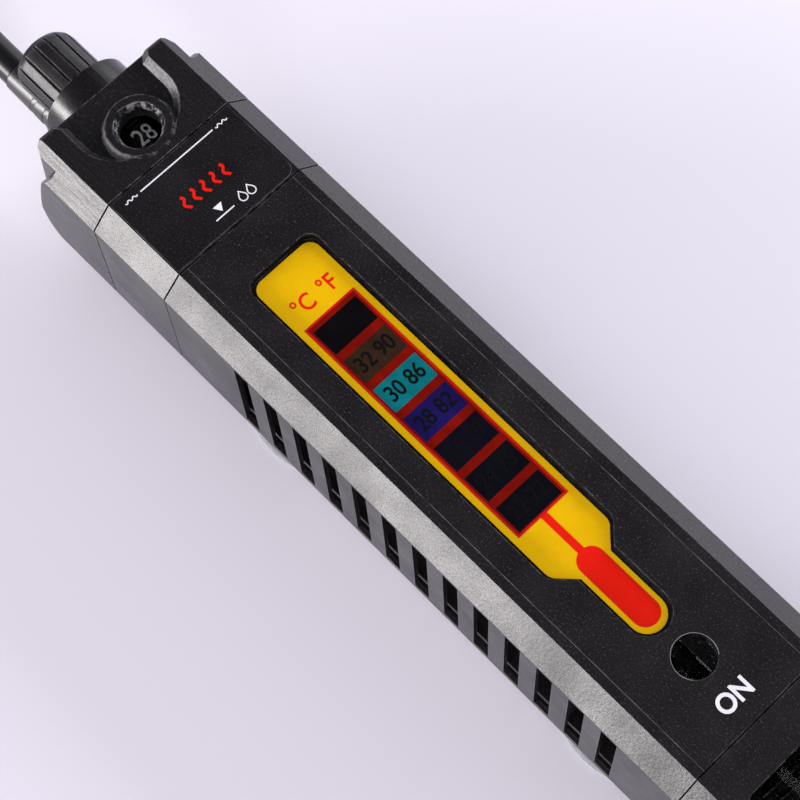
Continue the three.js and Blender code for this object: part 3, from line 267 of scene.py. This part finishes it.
rubber = plain("black_rubber", (0.006, 0.0055, 0.0065), 0.30, grain=0.12)
relief_rubber = plain("relief_rubber", (0.010, 0.0095, 0.011), 0.36, shine=0.9)
# Painted shade: the pilot lamp's stand is near black so the hole looks dark inside
lamp_black = plain("lamp_black", (0.006, 0.006, 0.007), 0.75, grain=0.03, shine=0.2)
soft_black = plain("soft_black", (0.03, 0.03, 0.032), 0.7, grain=0.3)
yellow = plain("card_yellow", (0.71, 0.41, 0.0003), 0.30, shade=0.92, grain=0.05, shine=0.08)
red = plain("print_red", (0.71, 0.010, 0.003), 0.35, shade=0.92, grain=0.05, shine=0.06)
frame_red = plain("frame_red", (0.58, 0.004, 0.002), 0.4, shade=0.7, grain=0.1, shine=0.15)
film_red = plain("film_red", (0.19, 0.004, 0.001), 0.3, shade=0.7, grain=0.05, shine=0.06)
ink = plain("cell_ink", (0.0022, 0.0022, 0.0028), 0.4, shine=0.2)
white_print = plain("white_print", (0.72, 0.71, 0.76), 0.5, shade=0.93, grain=0.05)
dial_print = plain("dial_print", (0.92, 0.92, 0.95), 0.5, shade=0.95, grain=0.05)
# Pale lines painted along edges as highlights
edge_highlight_line = plain("painted_edge_highlight", (0.13, 0.125, 0.135), 0.5, shade=0.1)
# Painted highlight for the pilot hole's rim
hole_highlight_line = plain("hole_edge_highlight", (0.30, 0.29, 0.30), 0.4, shade=0.5)
steel = plain("bare_steel", (0.56, 0.56, 0.58), 0.32, metal=1.0)
nickel = plain("nickel", (0.62, 0.60, 0.57), 0.22, metal=1.0)
brass = plain("bare_brass", (0.62, 0.46, 0.20), 0.3, metal=1.0)
wire_metal = plain("resistance_wire", (0.06, 0.05, 0.045), 0.5, metal=1.0)
ceramic = plain("white_ceramic", (0.72, 0.69, 0.62), 0.75, grain=0.4)
# Painted shade: the heating core is near black so the end cap's window looks dark inside
core_painted_dark = plain("core_painted_shade", (0.012, 0.011, 0.011), 0.8, grain=0.4, shine=0.2)
cream = plain("cream_plastic", (0.62, 0.59, 0.52), 0.5)
glass = clear("tube_glass", (0.96, 0.98, 0.98), 0.02, ior=1.15)
cup_clear = clear("cup_clear", (0.86, 0.88, 0.90), 0.16, ior=1.42, through=0.85)
# Painted shade: the pilot lamp's glass is tinted dark so the hole looks dark inside
lamp_clear = clear("lamp_glass", (0.16, 0.15, 0.15), 0.03, ior=1.2, through=0.9)

NODE_MATERIALS = {
    brushed_painted_highlight: ["head_cap"],
    satin: ["guard_shell", "end_cap", "back_plate", "cord_tie"],
    smooth: ["label_collar", "dial_drum"],
    gloss: ["tube_cap"],
    knob_black: ["knob"],
    steel: ["back_screw_1", "back_screw_2", "back_screw_3", "back_screw_4",
            "bimetal_strip", "snap_magnet"],
    nickel: ["live_pin", "neutral_pin"],
    yellow: ["thermometer_strip"],
    cup_clear: ["upper_suction_cup", "lower_suction_cup"],
    glass: ["glass_tube"],
    brass: ["adjust_shaft", "adjuster_nut", "contact_leaf", "fixed_contact", "moving_contact",
            "live_lead", "return_lead", "live_supply_wire", "neutral_supply_wire"],
    cream: ["thermostat_carrier", "spine_board", "suppressor_capacitor"],
    soft_black: ["upper_tube_cushion", "lower_tube_cushion", "foot_pad",
                 "cap_gasket", "shaft_seal"],
    lamp_black: ["lamp_stand"],
    lamp_clear: ["pilot_lamp"],
    ceramic: ["lamp_resistor", "upper_insulating_disc", "lower_insulating_disc"],
    core_painted_dark: ["heating_core"],
    wire_metal: ["heating_winding"],
    relief_rubber: ["strain_relief"],
    rubber: ["plug_body", "power_cord", "cord_hank"],
}
for material, names in NODE_MATERIALS.items():
    for name in names:
        mesh = nodes[name].data
        mesh.materials.clear()
        mesh.materials.append(material)


# -------------------------------------------------------- edges and shading

SHARP_FROM = math.radians(35)
BEVEL_FROM = math.radians(32)
WELD_REACH = 0.000002
# Rounded edges' widths in millimetres
EDGE_ROUNDING = {
    "head_cap": 0.35, "label_collar": 0.25, "guard_shell": 0.3, "end_cap": 0.35,
    "back_plate": 0.3, "tube_cap": 0.3, "knob": 0.18, "strain_relief": 0.2,
    "plug_body": 0.5, "cord_tie": 0.2, "thermometer_strip": 0.08,
}
SMOOTH_NODES = ("upper_suction_cup", "lower_suction_cup", "glass_tube", "pilot_lamp", "dial_drum",
                "heating_winding", "heating_core", "foot_pad", "live_pin", "neutral_pin",
                "cap_gasket")


def smooth_by_angle(name):
    """Shades a CAD node smooth, with its edges above the angle kept sharp."""
    mesh = nodes[name].data
    work = bmesh.new()
    work.from_mesh(mesh)
    for face in work.faces:
        face.smooth = True
    for edge in work.edges:
        edge.smooth = not edge.is_manifold or edge.calc_face_angle(0.0) < SHARP_FROM
    work.to_mesh(mesh)
    work.free()


def soften(name, width):
    """Rounds a CAD node's hard edges with modifiers and shades the rest smooth."""
    obj = nodes[name]
    for polygon in obj.data.polygons:
        polygon.use_smooth = True
    weld = obj.modifiers.new("weld", "WELD")
    weld.merge_threshold = WELD_REACH
    bevel = obj.modifiers.new("bevel", "BEVEL")
    bevel.width = width / 1000
    bevel.segments = 2
    bevel.limit_method = "ANGLE"
    bevel.angle_limit = BEVEL_FROM
    bevel.use_clamp_overlap = True
    bevel.harden_normals = False
    bevel.miter_outer = "MITER_ARC"
    normals = obj.modifiers.new("normals", "WEIGHTED_NORMAL")
    normals.keep_sharp = True


# ------------------------------------------------------------------ cord

CORD_RADIUS = 3.7
CAP_FRONT = -29.4
GAP = 0.3
RELIEF_LENGTH = 20
CORD_FROM_AXIS = 12.5
CORD_Y = -3.4
CORD_Z = TUBE_AXIS - math.sqrt(CORD_FROM_AXIS ** 2 - CORD_Y ** 2)
CORD_LOW = -STAND + CORD_RADIUS + 0.05
CORD_STRAIGHT = 58
CORD_DROP = 62
HANK_X = 143
HANK_RUN = 58
HANK_INNER = 22.2
HANK_PITCH = 8
LAYER_PITCH = 7.85
LAYER_TURNS = 1.15
CLIMB_TURNS = 0.35
HANK_TURNS = 3.5
HANK_LAYERS = 3
RUN_SHARE = 0.2
BEND_SHARE = 0.3
LEAD_IN = 8
TAIL_RISE = 36
TAIL_STRAIGHT = 8
TAIL_SHIFT = 2.2
TIE_LIFT = 1.5
TIE_LIFT_REACH = 17
TIE_ROOM = 1.4
BODY_HALF = 21
PLUG_THICKNESS = 13.6
DROP_STEPS = 24
STEPS_A_TURN = 60
TAIL_STEPS = 8
HANK_OUTER = HANK_INNER + HANK_PITCH * LAYER_TURNS
HANK_Y = BODY_HALF - TIE_ROOM - CORD_RADIUS - HANK_OUTER
PLUG_Z = CORD_LOW + LAYER_PITCH * (HANK_LAYERS - 1) + CORD_RADIUS + GAP + PLUG_THICKNESS / 2


def ease(share):
    return (1 - math.cos(math.pi * min(max(share, 0), 1))) / 2


def hank_at(turn):
    """A point of the folded cord after so many turns, as the CAD source has it."""
    swing = abs((turn / LAYER_TURNS + 1) % 2 - 1)
    radius = HANK_INNER + (HANK_OUTER - HANK_INNER) * (1 - swing)
    rise = sum(LAYER_PITCH * ease((turn - k * LAYER_TURNS) / CLIMB_TURNS + 0.5)
               for k in range(1, math.ceil(HANK_TURNS / LAYER_TURNS)))
    place = turn % 1
    back = RUN_SHARE + BEND_SHARE
    if place < RUN_SHARE:
        x, y = -HANK_RUN * place / RUN_SHARE, radius
    elif place < back:
        angle = math.pi / 2 + (place - RUN_SHARE) / BEND_SHARE * math.pi
        x, y = -HANK_RUN + radius * math.cos(angle), radius * math.sin(angle)
    elif place < back + RUN_SHARE:
        x, y = -HANK_RUN * (back + RUN_SHARE - place) / RUN_SHARE, -radius
    else:
        angle = math.pi * 1.5 + (place - back - RUN_SHARE) / BEND_SHARE * math.pi
        x, y = radius * math.cos(angle), radius * math.sin(angle)
    lift = TIE_LIFT * math.exp(-(((x + HANK_RUN / 2) / TIE_LIFT_REACH) ** 2)) if y > 0 else 0
    return (x - HANK_X, HANK_Y + y, CORD_LOW + rise + lift)


def cord_route():
    """The whole cord's centreline, from the strain relief's tip to the plug."""
    start = CAP_FRONT - GAP - RELIEF_LENGTH - GAP
    stop = -HANK_X + LEAD_IN
    side = HANK_Y + HANK_OUTER
    route = []
    for i in range(DROP_STEPS + 1):
        x = start + (stop - start) * i / DROP_STEPS
        gone = ease((-CORD_STRAIGHT - x) / CORD_DROP)
        route.append((x, CORD_Y + (side - CORD_Y) * gone, CORD_Z + (CORD_LOW - CORD_Z) * gone))
    route.append((-HANK_X + LEAD_IN / 2, side, CORD_LOW))
    steps = round(HANK_TURNS * STEPS_A_TURN)
    route += [hank_at(HANK_TURNS * i / steps) for i in range(steps + 1)]
    last, before = Vector(route[-1]), Vector(route[-2])
    slope = (last.z - before.z) / (last.x - before.x)
    for i in range(1, TAIL_STEPS + 1):
        u = i / TAIL_STEPS
        settle = 3 * u ** 2 - 2 * u ** 3
        drift = slope * TAIL_RISE * (u - 2 * u ** 2 + u ** 3)
        route.append((last.x + TAIL_RISE * u, last.y + TAIL_SHIFT * settle,
                      last.z + drift + (PLUG_Z - last.z) * settle))
    x, y, z = route[-1]
    route.append((x + TAIL_STRAIGHT, y, z))
    return route


def cord_curve(name, route, radius, material):
    """A round cord along the route."""
    data = bpy.data.curves.new(name, "CURVE")
    data.dimensions = "3D"
    data.bevel_depth = radius / 1000
    data.bevel_resolution = 5
    data.resolution_u = 1
    data.use_fill_caps = True
    spline = data.splines.new("POLY")
    spline.points.add(len(route) - 1)
    for point, place in zip(spline.points, route):
        point.co = (*at(*place), 1)
    spline.use_smooth = True
    data.materials.append(material)
    return add(name, data)


route = cord_route()
cord = cord_curve("mains_cord", route, CORD_RADIUS, rubber)
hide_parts("power_cord", "cord_hank")
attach(cord, "guard")

for name, width in EDGE_ROUNDING.items():
    soften(name, width)
for name in SMOOTH_NODES:
    smooth_by_angle(name)


# ---------------------------------------------------------- flat pieces

# How high flat pieces stand over their faces
FILM = 0.02
PRINT = 0.03
LETTER_TURN = Matrix(((0, -1, 0), (1, 0, 0), (0, 0, 1)))


def finish_piece(obj, body="guard"):
    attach(obj, body)
    return obj


def prism(name, outlines, z0, z1, material):
    """Upright prisms from heater (x, y) outlines, as one piece."""
    work = bmesh.new()
    for outline in outlines:
        low = [work.verts.new(at(x, y, z0)) for x, y in outline]
        high = [work.verts.new(at(x, y, z1)) for x, y in outline]
        count = len(outline)
        work.faces.new(high)
        work.faces.new(list(reversed(low)))
        for i in range(count):
            j = (i + 1) % count
            work.faces.new((low[i], low[j], high[j], high[i]))
    bmesh.ops.recalc_face_normals(work, faces=work.faces)
    mesh = bpy.data.meshes.new(name)
    work.to_mesh(mesh)
    work.free()
    mesh.materials.append(material)
    return finish_piece(add(name, mesh))


def lettering(name, text, place, material, size, narrow, weight):
    """Flat figures that read along +y with their tops towards the knob."""
    data = bpy.data.curves.new(name, "FONT")
    data.body = text
    data.size = size / 1000
    data.align_x = "CENTER"
    data.align_y = "CENTER"
    data.extrude = PRINT / 2000
    data.offset = weight / 1000
    data.resolution_u = 6
    data.materials.append(material)
    obj = add(name, data)
    lay = LETTER_TURN.to_4x4() @ Matrix.Diagonal((narrow, 1, 1, 1))
    obj.matrix_world = Matrix.Translation(at(*place)) @ lay
    return finish_piece(obj)


def rectangle(x0, x1, y0, y1):
    return [(x0, y0), (x1, y0), (x1, y1), (x0, y1)]


def arc(cx, cy, r, start, stop, steps):
    """Points on a circle, with the angles in degrees."""
    angles = [math.radians(start + (stop - start) * i / steps) for i in range(steps + 1)]
    return [(cx + r * math.cos(angle), cy + r * math.sin(angle)) for angle in angles]


def rounded(x0, x1, y0, y1, r, steps):
    """A rectangle with round corners."""
    corners = ((x1 - r, y0 + r, -90), (x1 - r, y1 - r, 0),
               (x0 + r, y1 - r, 90), (x0 + r, y0 + r, 180))
    return [point for cx, cy, start in corners
            for point in arc(cx, cy, r, start, start + 90, steps)]


def wave(length, height, crests, steps):
    """A sine wave's points, as (along, across) pairs from (0, 0)."""
    return [(length * i / steps, height * math.sin(2 * math.pi * crests * i / steps))
            for i in range(steps + 1)]


def stroke(path, width):
    """Outlines of a line of the given width along (x, y) points, with mitred joints."""
    closed = path[0] == path[-1]
    count = len(path) - 1
    normals = []
    for (ax, ay), (bx, by) in zip(path, path[1:]):
        long = math.hypot(bx - ax, by - ay)
        normals.append(Vector((-(by - ay) / long, (bx - ax) / long)))
    sides = []
    for i, (x, y) in enumerate(path):
        before = normals[i - 1] if i or closed else normals[0]
        after = normals[i % count] if i < count or closed else normals[-1]
        miter = (before + after).normalized()
        reach = width / 2 / max(miter.dot(after), 0.4)
        sides.append(((x + miter.x * reach, y + miter.y * reach),
                      (x - miter.x * reach, y - miter.y * reach)))
    return [[a, b, d, c] for (a, b), (c, d) in zip(sides, sides[1:])]


# ---------------------------------------------------------- thermometer

CARD_FACE = -1.5
CARD_CLEARANCE = 0.01
FRAME_X = (46.55, 105.5)
FRAME_HALF = 6.57
FRAME_LINE = 0.5
CELL_X = 48.11
CELL_PITCH = 8.364
CELL_LENGTH = 6.47
CELL_HALF = 5.62
CELL_COLOURS = ((0.004, 0.003, 0.004), (0.032, 0.015, 0.008), (0.001, 0.158, 0.185),
                (0.010, 0.006, 0.085), (0.005, 0.004, 0.010), (0.004, 0.004, 0.008),
                (0.004, 0.004, 0.007))
CELL_FIGURES = ("32 90", "30 86", "28 82", "26 79", "24 75", "22 72")
DEGREE_X = 42.6
BULB_X = (115.2, 134.8)
BULB_HALF = 2.93
STEM_X = (105.5, 115.4)
STEM_HALF = 0.8


def on_card(name, outlines, height, material):
    """Flat print on the thermometer card, with its top so high over the card."""
    prism(name, outlines, CARD_FACE + CARD_CLEARANCE, CARD_FACE + height, material)


def frame_sides(x0, x1, half, width):
    """The four sides of a frame round the x axis."""
    return [rectangle(x0, x1, -half, -half + width), rectangle(x0, x1, half - width, half),
            rectangle(x0, x0 + width, -half + width, half - width),
            rectangle(x1 - width, x1, -half + width, half - width)]


on_card("frame_lines", frame_sides(*FRAME_X, FRAME_HALF, FRAME_LINE), 0.05, frame_red)

x0, x1 = FRAME_X[0] + FRAME_LINE, FRAME_X[1] - FRAME_LINE
half = FRAME_HALF - FRAME_LINE
starts = [CELL_X + i * CELL_PITCH for i in range(len(CELL_COLOURS))]
edges = [x0, *(x for start in starts for x in (start, start + CELL_LENGTH)), x1]
bars = [rectangle(x0, x1, -half, -CELL_HALF), rectangle(x0, x1, CELL_HALF, half)]
bars += [rectangle(a, b, -CELL_HALF, CELL_HALF) for a, b in zip(edges[::2], edges[1::2])]
on_card("cell_frame", bars, 0.04, film_red)

for i, (start, color) in enumerate(zip(starts, CELL_COLOURS), start=1):
    film = plain(f"cell_film_{i}", color, 0.22, shade=0.7, grain=0.08, shine=0.18)
    cell = rectangle(start, start + CELL_LENGTH, -CELL_HALF, CELL_HALF)
    on_card(f"cell_{i}", [cell], 0.035, film)
for i, (start, text) in enumerate(zip(starts[1:], CELL_FIGURES), start=2):
    lettering(f"cell_figures_{i}", text, (start + CELL_LENGTH / 2, 0, CARD_FACE + 0.06),
              ink, size=5.0, narrow=0.8, weight=0.06)
for name, text, y in (("celsius_mark", "°C", -2.9), ("fahrenheit_mark", "°F", 3.4)):
    lettering(name, text, (DEGREE_X, y, CARD_FACE + 0.03),
              red, size=5.2, narrow=0.85, weight=0.05)
bulb = rounded(*BULB_X, -BULB_HALF, BULB_HALF, BULB_HALF - 0.01, 10)
on_card("bulb_mark", [bulb], 0.04, red)
on_card("bulb_stem", [rectangle(*STEM_X, -STEM_HALF, STEM_HALF)], 0.035, red)


# ----------------------------------------------------------- front face

FILM_X = (21.4, 160.0)
FILM_Y = (14.05, 14.17)
LEVEL_X = 2.3
LEVEL_WAVES = (-13.6, 10.5)
LEVEL_LINE = (-9.6, 9.8)
HEAT_X = 8.9
HEAT_Y = -5.0
HEAT_PITCH = 2.6
DROP_TIP = 16.0
DROP_NECK = (17.0, 0.68)
DROP_MIDDLE = 17.62
DROP_RADIUS = 0.88
DROPS_Y = (4.2, 6.4)
PLATE_X = (0.5, 20.6)
PLATE_Y = (-15.9, 15.6)
PLATE_CORNER = 2.2


def printed(name, outlines, material):
    """White or red print on the front face."""
    prism(name, outlines, 0.0, PRINT, material)


def rubbed(name, outlines, material):
    """A thin pale line on the front face along an edge: a painted highlight."""
    prism(name, outlines, 0.0, FILM, material)


lettering("lamp_mark", "ON", (154.4, -0.3, PRINT),
          white_print, size=5.35, narrow=0.92, weight=0.14)
low, high = FILM_Y
# Painted highlights along the film's two edges
rubbed("film_edge_left", [rectangle(*FILM_X, -high, -low)], edge_highlight_line)
rubbed("film_edge_right", [rectangle(*FILM_X, low, high)], edge_highlight_line)

ripple = wave(length=3.1, height=0.25, crests=2.5, steps=40)
level = [piece for y in LEVEL_WAVES for piece in stroke(
    [(LEVEL_X + across, y + along) for along, across in ripple], width=0.24)]
level.append(rectangle(LEVEL_X - 0.15, LEVEL_X + 0.15, *LEVEL_LINE))
printed("level_mark", level, white_print)

ripple = wave(length=3.3, height=0.40, crests=1.25, steps=30)
heat = [piece for k in range(5) for piece in stroke(
    [(HEAT_X + along, HEAT_Y + HEAT_PITCH * k + across) for along, across in ripple], width=0.62)]
printed("heat_mark", heat, red)

neck_x, neck_y = DROP_NECK
drop = [(DROP_TIP, 0), (neck_x, -neck_y), *arc(DROP_MIDDLE, 0, DROP_RADIUS, 220, 500, 12)[1:-1],
        (neck_x, neck_y), (DROP_TIP, 0)]
drops = [piece for middle in DROPS_Y for piece in stroke(
    [(x, y + middle) for x, y in drop], width=0.24)]
printed("water_mark", drops, white_print)

triangle = [(15.2, -1.9), (15.2, 0.3), (17.0, -0.8)]
printed("depth_mark", [triangle, rectangle(17.6, 17.9, -3.2, 1.6)], white_print)

(x0, x1), (y0, y1) = PLATE_X, PLATE_Y
corner = arc(x1 - PLATE_CORNER, y1 - PLATE_CORNER, PLATE_CORNER, 0, 90, 6)
# Painted highlight along the plate's border
rubbed("plate_border", stroke([(x0, y0), (x1, y0), *corner, (x0, y1)], width=0.1), edge_highlight_line)
# Painted highlight: a pale arc on the pilot hole's rim, only on its side towards the head
rubbed("hole_edge_highlight", stroke(arc(HOLE_X, 0, 4.47, 50, 310, 40), width=0.09), hole_highlight_line)


# ------------------------------------------------------------------ dial

DRUM_RADIUS = 8.1
DRUM_MIDDLE = -9.9
DIAL_LEAD = 8
DIAL_SET = 28  # the temperature that shows at rest
DIAL_FIGURES = (20, 24, 28, 32, 34)
DIAL_NARROW = 0.82
PRINT_LIFT = 0.04
TURN_A_DEGREE = 300 / 14  # of the scale


def dial_figure(temperature):
    """Figures wrapped round the drum's rim, facing out."""
    data = bpy.data.curves.new("figure", "FONT")
    data.body = str(temperature)
    data.size = 5.8
    data.offset = 0.05
    data.align_x = "CENTER"
    data.align_y = "CENTER"
    data.extrude = 0.02
    flat = add("figure", data)
    bpy.context.view_layer.update()
    depsgraph = bpy.context.evaluated_depsgraph_get()
    mesh = bpy.data.meshes.new_from_object(flat.evaluated_get(depsgraph))
    bpy.data.objects.remove(flat)
    middle = math.radians((temperature - DIAL_SET) * TURN_A_DEGREE + DIAL_LEAD)
    for vertex in mesh.vertices:
        across, up, out = vertex.co
        angle = middle + across * DIAL_NARROW / DRUM_RADIUS
        radius = DRUM_RADIUS + PRINT_LIFT + out
        vertex.co = at(DRUM_MIDDLE - up, radius * math.sin(angle),
                       TUBE_AXIS + radius * math.cos(angle))
    mesh.name = f"dial_{temperature}"
    mesh.materials.clear()
    mesh.materials.append(dial_print)
    finish_piece(add(f"dial_{temperature}", mesh), "knob_unit")


for temperature in DIAL_FIGURES:
    dial_figure(temperature)


# ---------------------------------------------------------------- studio

FLOOR_SPAN = 4.0
FLOOR_DROP = 0.0002
FLOOR_FRONT = (0.70, 0.665, 0.745)
FLOOR_BACK = (0.85, 0.81, 0.895)
FLOOR_FRONT_Y = -0.15
FLOOR_BACK_Y = 0.15
FLOOR_PAINTED_SHADE = [(0.045, 0.0), (0.12, 0.28), (0.30, 0.52), (0.50, 0.50), (0.75, 0.10), (1.0, 0.0)]
ROOM_COLOUR = (0.93, 0.92, 1.0, 1)
ROOM_LIGHT = 0.60
ROOM_SEEN = 0.85


def area_light(name, place, aim, size, power, color=(1, 1, 1)):
    data = bpy.data.lights.new(name, "AREA")
    data.shape = "RECTANGLE"
    data.size, data.size_y = size
    data.energy = power
    data.color = color
    obj = add(name, data)
    obj.location = place
    obj.rotation_euler = (Vector(aim) - Vector(place)).to_track_quat("-Z", "Y").to_euler()


area_light("left_box", place=(-1.56, -3.2, 0.84), aim=(0, 0, 0.02), size=(3.2, 1.08),
           power=208, color=(1, 0.955, 0.95))
area_light("right_box", place=(0.20, 4.48, 1.88), aim=(0, 0, 0), size=(4.48, 1.92),
           power=233, color=(0.98, 0.98, 1))
area_light("front_fill", place=(0.30, -0.60, 1.6), aim=(0, 0, 0), size=(0.8, 0.8), power=4.5)

# The floor is a little paler behind the heater: painted light. The fade table paints shade on it,
# by shares of its span, between the heater and the lamps, where it would clip to white.
ground = Surface("floor", (0.80, 0.775, 0.86), 0.9)
ground_split = ground.node("ShaderNodeSeparateXYZ", {0: ground.coords})
ground_painted_light = ground.map_range(ground_split.outputs["Y"], FLOOR_FRONT_Y, FLOOR_BACK_Y)
ground.colour(ground_painted_light, [(0, FLOOR_FRONT), (1, FLOOR_BACK)])
ground_away = ground.node("ShaderNodeVectorMath", {0: ground.coords}, operation="LENGTH")
ground_share = ground.calc("DIVIDE", ground_away.outputs["Value"], FLOOR_SPAN)
ground.rub(ground.ramp(ground_share, FLOOR_PAINTED_SHADE), (0, 0, 0))
floor_mesh = bpy.data.meshes.new("floor")
floor_corners = rectangle(-FLOOR_SPAN, FLOOR_SPAN, -FLOOR_SPAN, FLOOR_SPAN)
floor_mesh.from_pydata([(x, y, 0) for x, y in floor_corners], [], [(0, 1, 2, 3)])
floor_mesh.materials.append(ground.mat)
floor = add("floor", floor_mesh)
floor.location.z = -FLOOR_DROP

# The room is pale at the sides and dark overhead; only mirror-like rays see the difference
world = bpy.data.worlds.new("studio")
bpy.context.scene.world = world
room = Nodes(world)
background = room.tree.nodes["Background"]
background.inputs["Color"].default_value = ROOM_COLOUR
direction = room.node("ShaderNodeTexCoord").outputs["Generated"]
height = room.node("ShaderNodeSeparateXYZ", {0: direction}).outputs["Z"]
mirrored = room.map_range(height, 0.25, 0.75, 0.75, 0.03)
rays = room.node("ShaderNodeLightPath").outputs
lit = room.node("ShaderNodeMix", {"Factor": rays["Is Glossy Ray"], "A": ROOM_LIGHT, "B": mirrored})
seen = room.node("ShaderNodeMix", {
    "Factor": rays["Is Camera Ray"], "A": lit.outputs["Result"], "B": ROOM_SEEN})
room.link(seen.outputs["Result"], background.inputs["Strength"])
